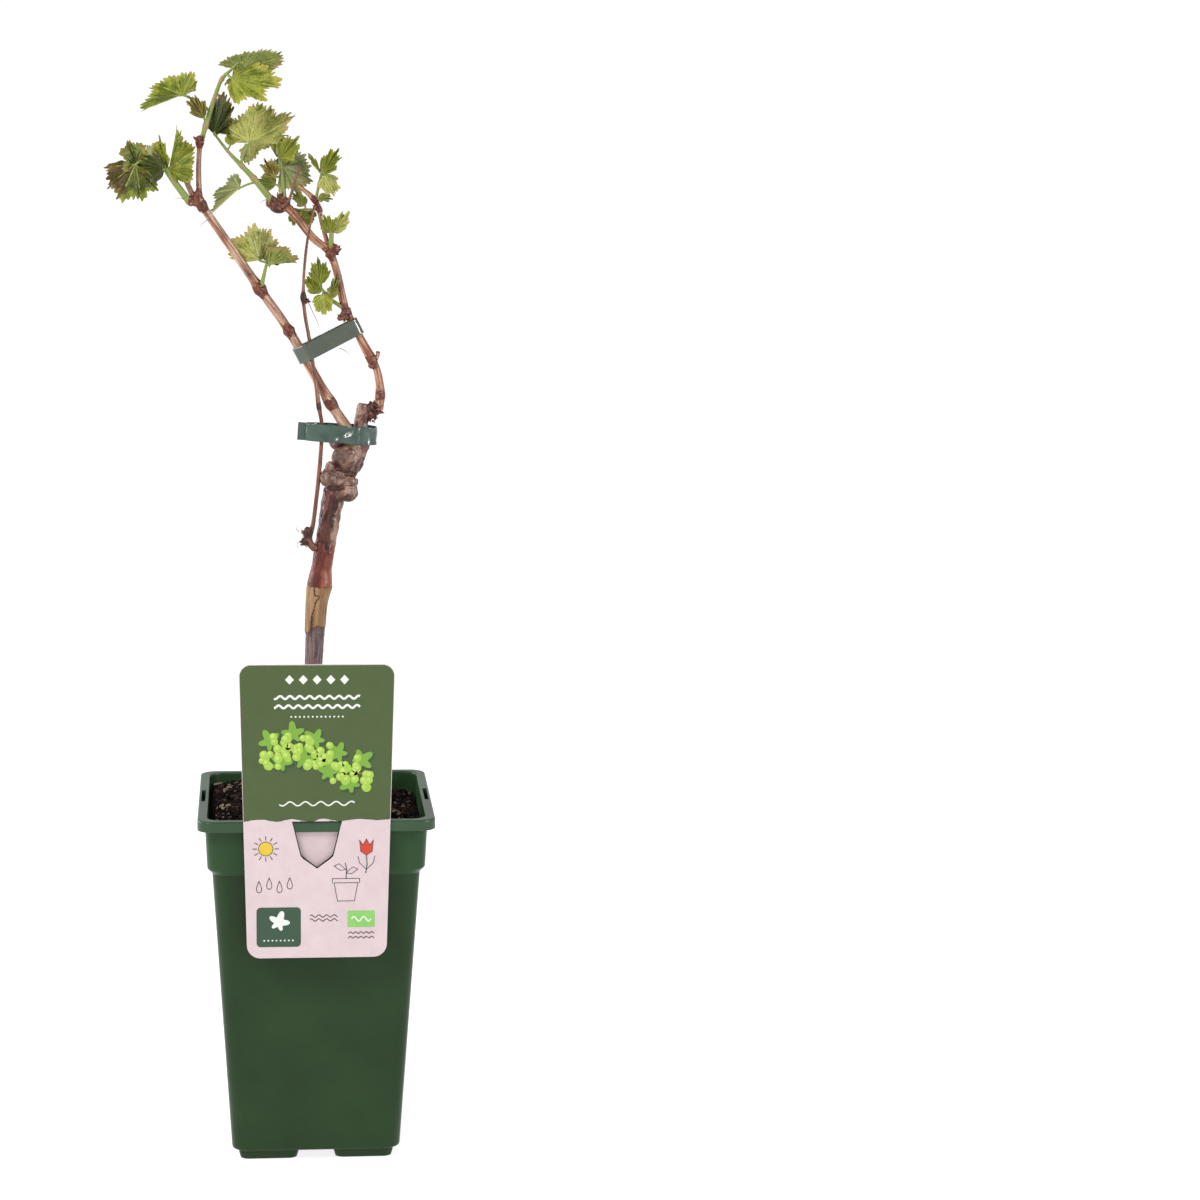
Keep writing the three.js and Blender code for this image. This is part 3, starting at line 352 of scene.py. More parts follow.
LOOKS = {
    "fresh": leaf_look("fresh", 0, 0.5, 0.2, "mid_vein"),
    "lime": leaf_look("lime", 0, 0.7, 0.25),
    "lit lime": leaf_look("lime", -0.75, 0.1, 0.5, lean=-0.7),
    "lime tip": leaf_look("lime", -0.1, 0.9, 0.3, lean=-0.3),
    "olive": leaf_look("olive", 0, 0.8, 0.3, "mid_vein"),
    "dark": leaf_look("dark", 0, 0.7, 0.3, "dark_vein"),
    "dark tip": leaf_look("dark", -0.1, 1, 0.35, "dark_vein"),
    "pale": leaf_look("pale", 0, 0.8, 0.2, "pale_vein", side=-1),
    "grey": leaf_look("grey", 0, 0.7, 0.3, "pale_vein", side=-1),
    "grey tip": leaf_look("grey", 0.1, 0.9, 0.5, "pale_vein", lean=-0.4),
    "grey veins": leaf_look("pale", -0.1, 0.9, 0.25, "pale_vein", lean=0.2),
    "striped": leaf_look("bronze", 0.3, 0.9, 0.5, "mid_vein"),
    "bronze": leaf_look("bronze", 0.2, 0.8, 0.4, "mid_vein"),
    "bronze tip": leaf_look("olive", 0, 1, 0.5, "mid_vein"),
    "crumpled": leaf_look("olive", -0.4, 0.9, 0.6, "mid_vein", warp=0.14),
    "half bronze": leaf_look("fresh", -0.55, 0.2, 0.35, "mid_vein", half=("bronze", -1)),
}


def srgb(code):
    """The linear surface colour that looks like a hexadecimal screen colour under the studio's lights"""
    parts = [int(code[i:i + 2], 16) / 255 for i in (0, 2, 4)]
    return [LIGHT * (x / 12.92 if x <= 0.04045 else ((x + 0.055) / 1.055) ** 2.4) for x in parts] + [1]


def unit(vector):
    return vector / np.linalg.norm(vector)


def rough(points, scale, depth=3):
    """Fractal noise, about -1 to 1, at points in millimetres, with features of the given size"""
    return np.array([noise.fractal(point, 0.7, 2, depth) for point in (points / scale).tolist()])


def smooth_step(low, high, values):
    t = np.clip((values - low) / (high - low), 0, 1)
    return t * t * (3 - 2 * t)


def add_object(name, data):
    """A new object in the scene"""
    thing = bpy.data.objects.new(name, data)
    bpy.context.scene.collection.objects.link(thing)
    return thing


def dress(mesh, materials):
    """Gives a mesh some materials, in their order, in place of any that it has"""
    mesh.materials.clear()
    for material in materials:
        mesh.materials.append(material)


def vectors(items, key):
    """One vector of each vertex or face of a mesh, as rows of an array"""
    values = np.zeros(len(items) * 3)
    items.foreach_get(key, values)
    return values.reshape(-1, 3)


class Pile:
    """Points, faces and each face's material, gathered for one piece"""

    def __init__(self):
        self.points, self.faces, self.kinds = [np.zeros((0, 3))], [], []
        self.count = 0

    def add(self, points, faces, kinds=0):
        self.points.append(np.asarray(points, float))
        self.faces += [[corner + self.count for corner in face] for face in faces]
        self.kinds += np.broadcast_to(kinds, len(faces)).tolist()
        self.count += len(points)

    def make(self, name, materials, smooth=True):
        mesh = bpy.data.meshes.new(name)
        mesh.from_pydata((np.vstack(self.points) * MM).tolist(), [], self.faces)
        dress(mesh, materials)
        mesh.polygons.foreach_set("material_index", self.kinds)
        mesh.polygons.foreach_set("use_smooth", [smooth] * len(self.faces))
        mesh.update()
        return add_object(name, mesh)


def belong(piece, slot, *nodes):
    """The piece moves with the plant and stands for some solids; its slot is not used"""
    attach(piece, BODY)
    if nodes:
        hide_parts(*nodes)
    return piece


def applied(piece):
    """The piece with its modifiers applied to its mesh"""
    bpy.context.view_layer.update()
    evaluated = piece.evaluated_get(bpy.context.evaluated_depsgraph_get())
    mesh = bpy.data.meshes.new_from_object(evaluated)
    piece.modifiers.clear()
    piece.data = mesh
    return piece


def grid_faces(rows, columns, closed):
    """Quads of a grid of points. A closed grid joins its last column to its first."""
    faces = []
    for row in range(rows - 1):
        for column in range(columns if closed else columns - 1):
            a = row * columns + column
            b = row * columns + (column + 1) % columns
            faces.append((a, b, b + columns, a + columns))
    return faces


def capped_grid(rows, columns):
    """Quads of a closed grid of points, and a face over each of its ends"""
    last = (rows - 1) * columns
    ends = [tuple(reversed(range(columns))), tuple(range(last, last + columns))]
    return grid_faces(rows, columns, True) + ends


def grid_rim(rows, columns):
    """The points round the edge of an open grid, from the start of its last row"""
    last = (rows - 1) * columns
    rim = list(range(last, last + columns))
    rim += [columns * row + columns - 1 for row in range(rows - 2, -1, -1)]
    rim += list(range(columns - 2, -1, -1))
    rim += [columns * row for row in range(1, rows - 1)]
    return rim


# Materials


def shader(name, colour, roughness, **uniform):
    """A material with a Principled shader, and short calls that add and join nodes"""
    material = bpy.data.materials.new(name)
    material.use_nodes = True
    nodes, links = material.node_tree.nodes, material.node_tree.links
    surface = nodes["Principled BSDF"]
    surface.inputs["Base Color"].default_value = srgb(colour)
    surface.inputs["Roughness"].default_value = roughness
    for socket, value in uniform.items():
        surface.inputs[socket.replace("_", " ")].default_value = value

    def add(kind, inputs=None, **settings):
        node = nodes.new("ShaderNode" + kind)
        for key, value in settings.items():
            setattr(node, key, value)
        for key, value in (inputs or {}).items():
            if isinstance(value, bpy.types.NodeSocket):
                links.new(value, node.inputs[key])
            else:
                node.inputs[key].default_value = value
        return node

    return material, surface, add, links.new


def place_of(add, grain):
    """Coordinates in metres: along a limb's own grain, or the object's"""
    if grain:
        return add("Attribute", attribute_name="grain").outputs["Vector"]
    return add("TexCoord").outputs["Object"]


def speckle(add, place, scale, detail=4, stretch=(1, 1, 1)):
    """Noise of a given number of features a metre"""
    mapping = add("Mapping", {"Vector": place, "Scale": stretch})
    node = add("TexNoise", {"Vector": mapping.outputs["Vector"], "Scale": scale, "Detail": detail})
    return node.outputs["Fac"]


def between(add, factor, first, second, low=0.35, high=0.65):
    """A colour that runs from first to second as the factor runs from low to high"""
    ramp = add("ValToRGB", {"Fac": factor})
    ramp.color_ramp.elements[0].position, ramp.color_ramp.elements[1].position = low, high
    ramp.color_ramp.elements[0].color, ramp.color_ramp.elements[1].color = first, second
    return ramp.outputs["Color"]


def mixed(add, factor, first, second):
    """Two colours mixed by a factor"""
    node = add("Mix", data_type="RGBA")
    for socket, value in ((0, factor), (6, first), (7, second)):
        if isinstance(value, bpy.types.NodeSocket):
            node.id_data.links.new(value, node.inputs[socket])
        else:
            node.inputs[socket].default_value = value
    return node.outputs[2]


def dented(add, link, surface, height, depth):
    """Bump on a surface, from a height between 0 and 1 and a depth in millimetres"""
    bump = add("Bump", {"Height": height, "Distance": depth * MM, "Strength": 0.8})
    link(bump.outputs["Normal"], surface.inputs["Normal"])


def worn(add, link, surface, factor, low, high):
    """Roughness that runs from low to high with a factor"""
    spread = add("MapRange", {"Value": factor, "To Min": low, "To Max": high})
    link(spread.outputs["Result"], surface.inputs["Roughness"])


def plastic(name, colour, second, roughness, shine=0.16, scuff="4c6a4c"):
    """Moulded plastic with a fine grain, dull patches and a few pale scuffs"""
    material, surface, add, link = shader(name, colour, roughness, Specular_IOR_Level=shine)
    place = place_of(add, False)
    patches = speckle(add, place, 22, detail=5)
    scuffs = speckle(add, place, 60, detail=8, stretch=(0.3, 0.3, 3))
    base = between(add, patches, srgb(colour), srgb(second))
    pale = between(add, scuffs, BLACK, WHITE, 0.69, 0.74)
    link(mixed(add, pale, base, srgb(scuff)), surface.inputs["Base Color"])
    worn(add, link, surface, patches, roughness - 0.06, roughness + 0.1)
    dented(add, link, surface, speckle(add, place, 900, detail=3), 0.06)
    return material


def wood(name, colour, second, dark, roughness=0.6, across=900, along=0.06, relief=0.25, shine=0.3):
    """Bark or a ripe cane: stripes along the grain, darker flecks and a fibrous relief. Across is how many
    stripes a metre holds, and along how wide one is as a share of its length."""
    material, surface, add, link = shader(name, colour, roughness, Specular_IOR_Level=shine)
    place = place_of(add, True)
    stripes = speckle(add, place, across, detail=5, stretch=(1, 1, along))
    blotches = speckle(add, place, across / 4, stretch=(1, 1, 0.35))
    flecks = speckle(add, place, across * 1.6, detail=3, stretch=(1, 1, along * 3))
    base = between(add, stripes, srgb(colour), srgb(second), 0.42, 0.6)
    blotch = between(add, blotches, BLACK, (0.8, 0.8, 0.8, 1), 0.5, 0.72)
    shaded = mixed(add, blotch, base, srgb(dark))
    fleck = between(add, flecks, BLACK, (0.9, 0.9, 0.9, 1), 0.62, 0.7)
    link(mixed(add, fleck, shaded, srgb(dark)), surface.inputs["Base Color"])
    worn(add, link, surface, blotches, roughness - 0.1, roughness + 0.14)
    dented(add, link, surface, stripes, relief)
    return material


def leafy(name, colour, roughness=0.44):
    """A leaf surface: even colour, a soft sheen, duller patches and a fine net of cells"""
    material, surface, add, link = shader(
        name, colour, roughness, Sheen_Weight=0.02, Sheen_Roughness=0.5, Specular_IOR_Level=0.22,
    )
    place = place_of(add, False)
    tone = speckle(add, place, 260)
    worn(add, link, surface, tone, roughness - 0.08, roughness + 0.12)
    cells = add("TexVoronoi", {"Vector": place, "Scale": 1100})
    dented(add, link, surface, cells.outputs["Distance"], 0.15)
    return material


def blend(first, second, share):
    """A hexadecimal colour between two others"""
    pairs = [(int(first[i:i + 2], 16), int(second[i:i + 2], 16)) for i in (0, 2, 4)]
    return "".join(f"{round(a + (b - a) * share):02x}" for a, b in pairs)


def leaf_materials():
    """Every shade of every leaf colour"""
    materials = []
    # Each ramp's deep colour is a painted shade for the leaf's folds
    for name, (deep, own, margin) in RAMPS.items():
        for shade in range(SHADES):
            amount = 2 * shade / (SHADES - 1) - 1
            colour = blend(own, deep, -amount) if amount < 0 else blend(own, margin, amount)
            materials.append(leafy(f"leaf_{name}_{shade}", colour))
    return materials


def peat(name, colour, second):
    """Moist compost: clods of two colours, dull and grainy"""
    material, surface, add, link = shader(name, colour, 0.9, Specular_IOR_Level=0.1)
    place = place_of(add, False)
    clods = speckle(add, place, 180, detail=6)
    link(between(add, clods, srgb(colour), srgb(second), 0.4, 0.66), surface.inputs["Base Color"])
    worn(add, link, surface, clods, 0.75, 0.98)
    dented(add, link, surface, speckle(add, place, 700, detail=8), 0.5)
    return material


def printed(name, colour, roughness=0.38):
    """Card or ink: nearly even, with faint mottling and a soft gloss"""
    material, surface, add, link = shader(name, colour, roughness, Specular_IOR_Level=0.35)
    place = place_of(add, False)
    tone = speckle(add, place, 120, detail=5)
    dim = [channel * 0.9 for channel in srgb(colour)[:3]] + [1]
    link(between(add, tone, srgb(colour), dim, 0.3, 0.8), surface.inputs["Base Color"])
    worn(add, link, surface, tone, roughness - 0.05, roughness + 0.08)
    dented(add, link, surface, speckle(add, place, 1600, detail=2), 0.015)
    return material


def satin_tape(name, colour, second, waves):
    """Soft plastic tape with lengthwise streaks, and shallow waves of a depth in millimetres"""
    material, surface, add, link = shader(name, colour, 0.26, Specular_IOR_Level=0.5, Coat_Weight=0.2)
    place = place_of(add, False)
    streaks = speckle(add, place, 90, detail=3)
    link(between(add, streaks, srgb(colour), srgb(second)), surface.inputs["Base Color"])
    worn(add, link, surface, streaks, 0.2, 0.34)
    dented(add, link, surface, speckle(add, place, 160, detail=2), waves)
    return material


# Curves and limbs


def curve_at(points, shares):
    """Points of a centripetal Catmull-Rom curve at shares 0 to 1, evenly over its segments"""
    points = np.asarray(points, float)
    count = len(points) - 1
    at = np.clip(np.atleast_1d(shares) * count, 0, count)
    first = np.minimum(at.astype(int), count - 1)
    t = (at - first)[:, None]
    ends = np.vstack([2 * points[0] - points[1], points, 2 * points[-1] - points[-2]])
    x0, x1, x2, x3 = (ends[first + step] for step in range(4))
    d0, d1, d2 = (np.sqrt(np.linalg.norm(b - a, axis=1))[:, None] for a, b in ((x0, x1), (x1, x2), (x2, x3)))
    t1 = ((x1 - x0) / d0 - (x2 - x0) / (d0 + d1) + (x2 - x1) / d1) * d1
    t2 = ((x2 - x1) / d1 - (x3 - x1) / (d1 + d2) + (x3 - x2) / d2) * d1
    return x1 + t1 * t + (3 * (x2 - x1) - 2 * t1 - t2) * t ** 2 + (2 * (x1 - x2) + t1 + t2) * t ** 3


def tangents_at(points, shares):
    step = 1e-4
    ahead = curve_at(points, np.minimum(shares + step, 1)) - curve_at(points, np.maximum(shares - step, 0))
    return ahead / np.linalg.norm(ahead, axis=1)[:, None]


def grow_path(limb):
    """The points where a limb's joints meet"""
    points = [np.array(limb["foot"], float)]
    for length, lean, swing, *_ in limb["joints"]:
        a, b = math.radians(lean), math.radians(swing)
        step = (math.sin(a) * math.cos(b), math.sin(b), math.cos(a) * math.cos(b))
        points.append(points[-1] + length * np.array(step))
    return np.array(points)


def radii_at(limb, shares, node_reach=2.6):
    """A limb's radius along it: a taper between its joints, with a smooth swelling at each node"""
    at = np.atleast_1d(shares) * len(limb["joints"])
    ends = [limb["radius"]] + [joint[3] for joint in limb["joints"]]
    radii = np.interp(at, np.arange(len(ends)), ends)
    for number, (length, _, _, _, swell) in enumerate(limb["joints"], 1):
        radii = radii + swell * np.exp(-(((at - number) * length / node_reach) ** 2))
    return radii


def spine(points, shares):
    """Places along a curve, with two directions across it that don't twist"""
    along = tangents_at(points, shares)
    side, sides = np.array((0.0, -1, 0)), []
    for direction in along:
        side = unit(side - direction * side.dot(direction))
        sides.append(side)
    sides = np.array(sides)
    return curve_at(points, shares), sides, np.cross(along, sides)


def tube(pile, points, shares, radii, corners, kinds=0, flat=1):
    """A closed tube along a curve. Flat makes it thinner towards the viewer."""
    middles, sides, across = spine(points, shares)
    turns = np.arange(corners) / corners * 2 * math.pi
    ring = sides[:, None] * (np.cos(turns) * flat)[:, None] + across[:, None] * np.sin(turns)[:, None]
    body = (middles[:, None] + ring * np.asarray(radii)[:, None, None]).reshape(-1, 3)
    kinds = np.append(np.repeat(np.broadcast_to(kinds, len(shares) - 1), corners), (0, 0))
    pile.add(body, capped_grid(len(shares), corners), kinds)


def limb_shares(limb, spacing):
    """Even steps along a limb, about as far apart as the spacing"""
    length = sum(joint[0] for joint in limb["joints"])
    return np.linspace(0, 1, max(4, round(length / spacing)))


def limb_tube(pile, limb):
    shares = limb_shares(limb, LIMB_STEP)
    tube(pile, grow_path(limb), shares, radii_at(limb, shares), LIMB_CORNERS)


def ball(pile, middle, size, rows=10, columns=16):
    """A lump with a given middle and half sizes"""
    up = np.linspace(-1, 1, rows + 1)[:, None] * math.pi / 2 * 0.98
    turn = np.arange(columns)[None] / columns * 2 * math.pi
    shape = np.stack([np.cos(up) * np.cos(turn), np.cos(up) * np.sin(turn), np.sin(up) + 0 * turn], -1)
    pile.add(shape.reshape(-1, 3) * size + middle, capped_grid(rows + 1, columns))


def thread(pile, points, thick, corners=5, kinds=0, tip=0.3, steps=10, flat=1):
    """A fine tube through a few points that tapers to a share of its radius: a stalk, a tendril or a fibre"""
    shares = np.linspace(0, 1, steps)
    tube(pile, np.array(points, float), shares, thick * (1 - (1 - tip) * shares), corners, kinds, flat)


def bract(pile, root, tip, width, kinds=0, curl=0.2, flat=0.3):
    """A small pointed scale, widest near its root and curled away at its tip"""
    root, tip = np.array(root, float), np.array(tip, float)
    middle = (root + tip) / 2 + curl * np.linalg.norm(tip - root) * np.array((0, -0.8, -0.2))
    shares = np.linspace(0, 1, 7)
    radii = width / 2 * np.sin(math.pi * (0.16 + 0.82 * shares) ** 0.8)
    tube(pile, np.array([root, middle, tip]), shares, radii, 7, kinds, flat)


def straighten(points, limbs):
    """Each point in the grain of the limb next to it: two directions across, and the length along"""
    apart = 400
    places, frames = [], []
    for number, limb in enumerate(limbs):
        middles, sides, across = spine(grow_path(limb), limb_shares(limb, 0.8))
        steps = np.linalg.norm(np.diff(middles, axis=0), axis=1)
        length = np.concatenate([[0], np.cumsum(steps)]) + apart * number
        places.append(middles)
        frames.append(np.column_stack([sides, across, length]))
    places, frames = np.vstack(places), np.vstack(frames)
    tree = kdtree.KDTree(len(places))
    for index, place in enumerate(places.tolist()):
        tree.insert(place, index)
    tree.balance()
    nearest = np.array([tree.find(point)[1] for point in points.tolist()])
    offset, frame_rows = points - places[nearest], frames[nearest]
    side, across, length = frame_rows[:, 0:3], frame_rows[:, 3:6], frame_rows[:, 6]
    along = np.cross(side, across)
    return np.column_stack([(offset * side).sum(1), (offset * across).sum(1), length + (offset * along).sum(1)])


def fibres(grain, across, along, depth=4):
    """Ridges that run along the grain, about -1 to 1"""
    return rough(grain * (1, 1, across / along), across, depth)


def woody(name, limbs, lumps, voxel, relief, tones, materials):
    """Limbs and lumps grown into one skin, with relief in millimetres and a tone for each face"""
    pile = Pile()
    for limb in limbs:
        limb_tube(pile, limb)
    for middle, size in lumps:
        ball(pile, middle, size)
    piece = pile.make(name, [])
    remesh = piece.modifiers.new("skin", "REMESH")
    remesh.mode, remesh.voxel_size = "VOXEL", voxel * MM
    soften = piece.modifiers.new("soften", "SMOOTH")
    soften.factor, soften.iterations = 0.5, 4
    mesh = applied(piece).data
    points = vectors(mesh.vertices, "co") / MM
    grain = straighten(points, limbs)
    points = points + vectors(mesh.vertex_normals, "vector") * relief(points, grain)[:, None]
    mesh.vertices.foreach_set("co", (points * MM).ravel())
    mesh.attributes.new("grain", "FLOAT_VECTOR", "POINT").data.foreach_set("vector", (grain * MM).ravel())
    mesh.update()
    dress(mesh, materials)
    kinds = tones(vectors(mesh.polygons, "center") / MM)
    mesh.polygons.foreach_set("material_index", kinds.astype(int).tolist())
    mesh.polygons.foreach_set("use_smooth", [True] * len(mesh.polygons))
    return piece


# Bark and canes

# The trunk's barks, in the order of its materials
OLD, TAN, RED, DARK, GALL, CRACKED, SHADED_GALL, RUST, PLUM = range(9)
SLEEVE_TOP = 343.6
SLEEVE_LOW = (315.5, 319.4)
SLEEVE_SPLIT_X = -2.4
RED_TOP = 369
GALL_BOTTOM = 404
GALL_TOP = 440
ARM_X, ARM_Z = 31, 442
RUST_MIDDLE = 354
# The trunk's middle line as X and Z, where its bark differs from left to right
MIDDLE_LINE = np.array([(2.8, 344), (3.5, 360), (5.7, 372), (7.8, 384), (9.9, 394), (13, 404)])
# Crevices under the fold and above it, sunk and painted dark as shade, as X and Z on the trunk's front,
# each with half its width
CREVICES = [
    (np.array([(3.4, 402.6), (9, 402.2), (14, 402.8), (17.6, 404.4)]), 0.5),
    (np.array([(12.4, 418.6), (15.4, 414.8), (19.6, 412.8), (24.8, 411)]), 1.2),
]
# The crack down the front of the peeling layer, as X and Z
CRACK = np.array([(-0.4, 344), (-0.2, 339), (2.9, 337.9), (0.5, 335), (-1.5, 327), (-2.4, 314)])


def segment_distance(points, start, end):
    """Distances in a plane from points to a straight line's nearest part, and how far along it that is"""
    span = end - start
    along = np.clip((points - start) @ span / (span @ span), 0, 1)
    return np.linalg.norm(points - start - along[:, None] * span, axis=1), along


def crack_gap(points):
    """How far points on the front of the trunk lie from the edge of the crack, which widens downwards"""
    flat = points[:, [0, 2]] + 0.3 * rough(points, 1.5)[:, None]
    gaps = [segment_distance(flat, a, b)[0] for a, b in zip(CRACK, CRACK[1:])]
    wide = 0.25 + 0.45 * smooth_step(332, 322, points[:, 2])
    return np.where(points[:, 1] < 0, np.min(gaps, axis=0) - wide, FAR)


def sleeve_bottom(points):
    """The ragged lower edge of the peeling layer"""
    left, right = SLEEVE_LOW
    edge = np.where(points[:, 0] < SLEEVE_SPLIT_X, left, right)
    return edge + 1.4 * rough(points * (1, 1, 0.02), 3)


def crevice_gap(points):
    """How far points on the front of the trunk lie from the edge of a crevice"""
    flat = points[:, [0, 2]] + 0.7 * rough(points, 1.8)[:, None]
    gaps = []
    for line, wide in CREVICES:
        gaps += [segment_distance(flat, a, b)[0] - wide for a, b in zip(line, line[1:])]
    return np.where(points[:, 1] < 0, np.min(gaps, axis=0), FAR)


def knob_reaches(points):
    """How far points lie out from each group of knobs, 1 being its surface"""
    return np.array([
        np.min([np.linalg.norm((points - middle) / size, axis=1) for middle, size in knobs], axis=0)
        for knobs in KNOBS
    ])


def knob_heights(points):
    """How high points lie on the knob nearest to them, from -1 at its foot to 1 at its top"""
    places = np.array([(points - middle) / size for middle, size in sum(KNOBS, [])])
    nearest = np.linalg.norm(places, axis=2).argmin(0)
    return places[nearest, np.arange(len(points)), 2]


def crease(points):
    """How deep points lie in the seams between the groups of knobs, from 0 to 1"""
    first, second = np.sort(knob_reaches(points), axis=0)[:2]
    return (1 - smooth_step(0.04, 0.16, second - first + 0.05 * rough(points, 2))) * (first < 1.2)


def trunk_relief(points, grain):
    """The height of the trunk's bark: peeling, cracked, smooth, ridged or knobbly, from its foot up"""
    z = points[:, 2]
    strips = fibres(grain, 1.6, 26)
    peeled = (z > sleeve_bottom(points)) & (z < SLEEVE_TOP + 0.5 * rough(points, 2))
    shift = np.where(peeled, 0.62 + 0.06 * strips, 0)
    shift = np.where(peeled & (crack_gap(points) < 0), -0.25, shift)
    old = z < sleeve_bottom(points)
    shift = np.where(old, 0.42 * strips + 0.18 * rough(points, 1.4), shift)
    red = (z > SLEEVE_TOP) & (z < RED_TOP)
    shift = np.where(red, 0.04 * strips + 0.2 * rough(points, 6), shift)
    shift = np.where(z >= RED_TOP, 0.2 * strips + 0.5 * rough(points, 5), shift)
    knobs = smooth_step(GALL_BOTTOM - 3, GALL_BOTTOM + 4, z) * (1 - smooth_step(GALL_TOP, GALL_TOP + 6, z))
    shift = shift + knobs * (0.24 * rough(points, 1.5, 4) - 0.4 * crease(points))
    return shift - 0.9 * (1 - smooth_step(0, 0.7, crevice_gap(points)))


def trunk_tones(points):
    """Which of the barks each point wears. Aside is how far to the right of the trunk's middle line it is."""
    z, patch = points[:, 2], rough(points * (1, 1, 0.4), 4)
    middle = np.interp(z, MIDDLE_LINE[:, 1], MIDDLE_LINE[:, 0])
    aside = points[:, 0] - middle + 1.5 * rough(points * (1, 1, 0.2), 2.5)
    tones = np.full(len(points), OLD)
    tones[z > sleeve_bottom(points)] = TAN
    red = z + 0.8 * patch > SLEEVE_TOP
    tones[red] = RED
    tones[red & (aside - 0.25 * (z - RUST_MIDDLE) > 1.4)] = RUST
    dark = z + 7 * patch > RED_TOP
    tones[dark] = DARK
    tones[dark & (aside < -2.2)] = PLUM
    reaches = knob_reaches(points)
    nearest = reaches.min(0)
    tones[(z + 3 * patch > GALL_BOTTOM) | (nearest < 1.14) | (dark & (aside > 3.4))] = GALL
    # Painted shade: the lower part of each knob wears a darker gall bark
    tones[(nearest < 1.3) & (knob_heights(points) < -0.3 + 0.5 * patch)] = SHADED_GALL
    at_side = reaches.argmin(0) == len(KNOBS) - 1
    tones[at_side & (patch > 0) & (z > GALL_BOTTOM)] = PLUM
    arm = (points[:, 0] > ARM_X) & (z > ARM_Z)
    # Painted shade: the seams between the knobs and the crevices wear the dark bark, which the arm has of its
    # own
    tones[(crease(points) > 0.75) | (crevice_gap(points) < 0) | arm] = DARK
    tones[(crack_gap(points) < 0.1) & (z < SLEEVE_TOP + 1) & (z > SLEEVE_LOW[0] - 2)] = CRACKED
    return tones


def cane_relief(points, grain):
    return 0.13 * fibres(grain, 0.9, 22) + 0.05 * rough(points, 1.2)


def node_tones(spots):
    """Tone 1 on round spots, each a middle and a reach, and tone 0 between them"""
    def tones(points):
        gaps = np.min([np.linalg.norm(points - middle, axis=1) - reach for middle, reach in spots], axis=0)
        return gaps + 1.6 * rough(points, 2.4) < 0
    return tones


def node_spots(limbs, lumps):
    """Where limbs swell and where their lumps are, and how far out each of those places is darker"""
    spots = [(np.array(middle, float), 0.95 * max(size) + 0.5) for middle, size in lumps]
    for limb in limbs:
        path = grow_path(limb)
        spots += [
            (path[number], joint[3] + 1.8 * joint[4] + 0.6)
            for number, joint in enumerate(limb["joints"], 1) if joint[4] > 0.3
        ]
    return spots


def cane_piece(name, limbs, lumps, materials, slot, nodes, voxel=CANE_VOXEL):
    """Canes with darker bark round their nodes, in place of some solids"""
    tones = node_tones(node_spots(limbs, lumps))
    return belong(woody(name, limbs, lumps, voxel, cane_relief, tones, materials), slot, *nodes)


# Scaly places: the middle, how far out the scales stand, how many, and their length
SCALY = [
    ((36, -0.6, 450.6), 3.4, 44, 3.4), ((34, -0.6, 446.6), 2.8, 24, 2.8), ((17.2, -0.6, 506.2), 2.8, 20, 3),
    ((-21.6, 4.4, 572.4), 4.6, 34, 3.6), ((-5, -3.6, 376), 2, 18, 3), ((-6.4, -3.6, 370.6), 1.6, 16, 2.8),
    ((-72.6, -11.4, 574.8), 2.6, 12, 2.8), ((-67.3, -8.2, 609.6), 2.2, 20, 3), ((12, 3, 545), 2.4, 14, 2.8),
    ((34.4, -0.6, 478.2), 1.8, 7, 2), ((-32.3, -4.4, 523), 2.2, 10, 2.6), ((-3.9, -1, 483), 2, 10, 2.2),
    ((9.6, -0.4, 454.4), 2.2, 8, 2.2), ((-5.6, -2, 515.6), 1.6, 12, 2.2), ((0.6, 6.4, 570.6), 1.6, 10, 2.4),
    ((-1.4, 7, 566.4), 1.2, 8, 2),
]
# Dry tendril ends and threads, each as a few points
THREADS = [
    ((-61, -9.6, 563), (-63.5, -11, 562.6), (-66, -12, 560.6), (-67, -12, 559)),
    ((-9.6, -4, 377.4), (-11, -5, 379), (-11.4, -5, 381)),
    ((-6.2, -4, 372), (-10.2, -5, 371), (-10.6, -5, 366.5)),
    ((-4.2, -2, 515), (-1.4, -3, 509), (1.6, -3, 502.4), (2.6, -3, 499.5)),
    ((14.6, -3.4, 487.5), (18, -5, 486), (20.4, -5, 483.8)),
    ((-27.6, 4, 574.6), (-30, 3, 574), (-32.6, 3, 572.4)),
    ((-75.5, -12, 574.4), (-78.4, -13, 575.6), (-81.5, -13, 575.2)),
    ((-36.6, -6, 531.4), (-38.6, -8, 531), (-40, -8, 534.4)),
    ((-13, 4, 570.8), (-12.4, 3, 567.6), (-14, 2, 565.6)),
]
THREAD_RADIUS = 0.22


def bud_scales(materials):
    """Ragged scales round the nodes, and the dry threads"""
    random = np.random.default_rng(5)
    pile = Pile()
    for middle, out, count, length in SCALY:
        for _ in range(count):
            way = unit(random.normal(size=3) * (1, 1, 0.8))
            root = np.array(middle) + way * out * random.uniform(0.6, 1)
            lean = unit(way + random.normal(scale=0.35, size=3) + (0, 0, 0.5))
            size = length * random.uniform(0.55, 1.1)
            width = size * random.uniform(0.35, 0.6)
            bract(pile, root, root + lean * size, width, int(random.integers(len(materials))))
    for points in THREADS:
        thread(pile, points, THREAD_RADIUS)
    return belong(pile.make("bud_scales", materials), "bark")


# Leaves


def lobe_reach(share):
    """How far a blade reaches at a share of its spread, as a share of its length"""
    share = np.abs(share)
    after = np.clip(np.searchsorted(LOBES[:, 0], share), 1, len(LOBES) - 1)
    a, low = LOBES[after - 1].T
    b, high = LOBES[after].T
    return low + (high - low) * (1 - np.cos((share - a) / (b - a) * math.pi)) / 2


def flat_place(leaf, share, reach):
    """A place on a blade laid flat: along its midrib, and out to its left"""
    turn = np.radians(share * leaf["spread"])
    length = np.linalg.norm(leaf["blade"])
    out = np.sin(np.abs(turn)) * reach * leaf["width"] / NATURAL_WIDTH
    return np.stack([np.cos(turn) * reach * length, np.sign(share) * out], -1)


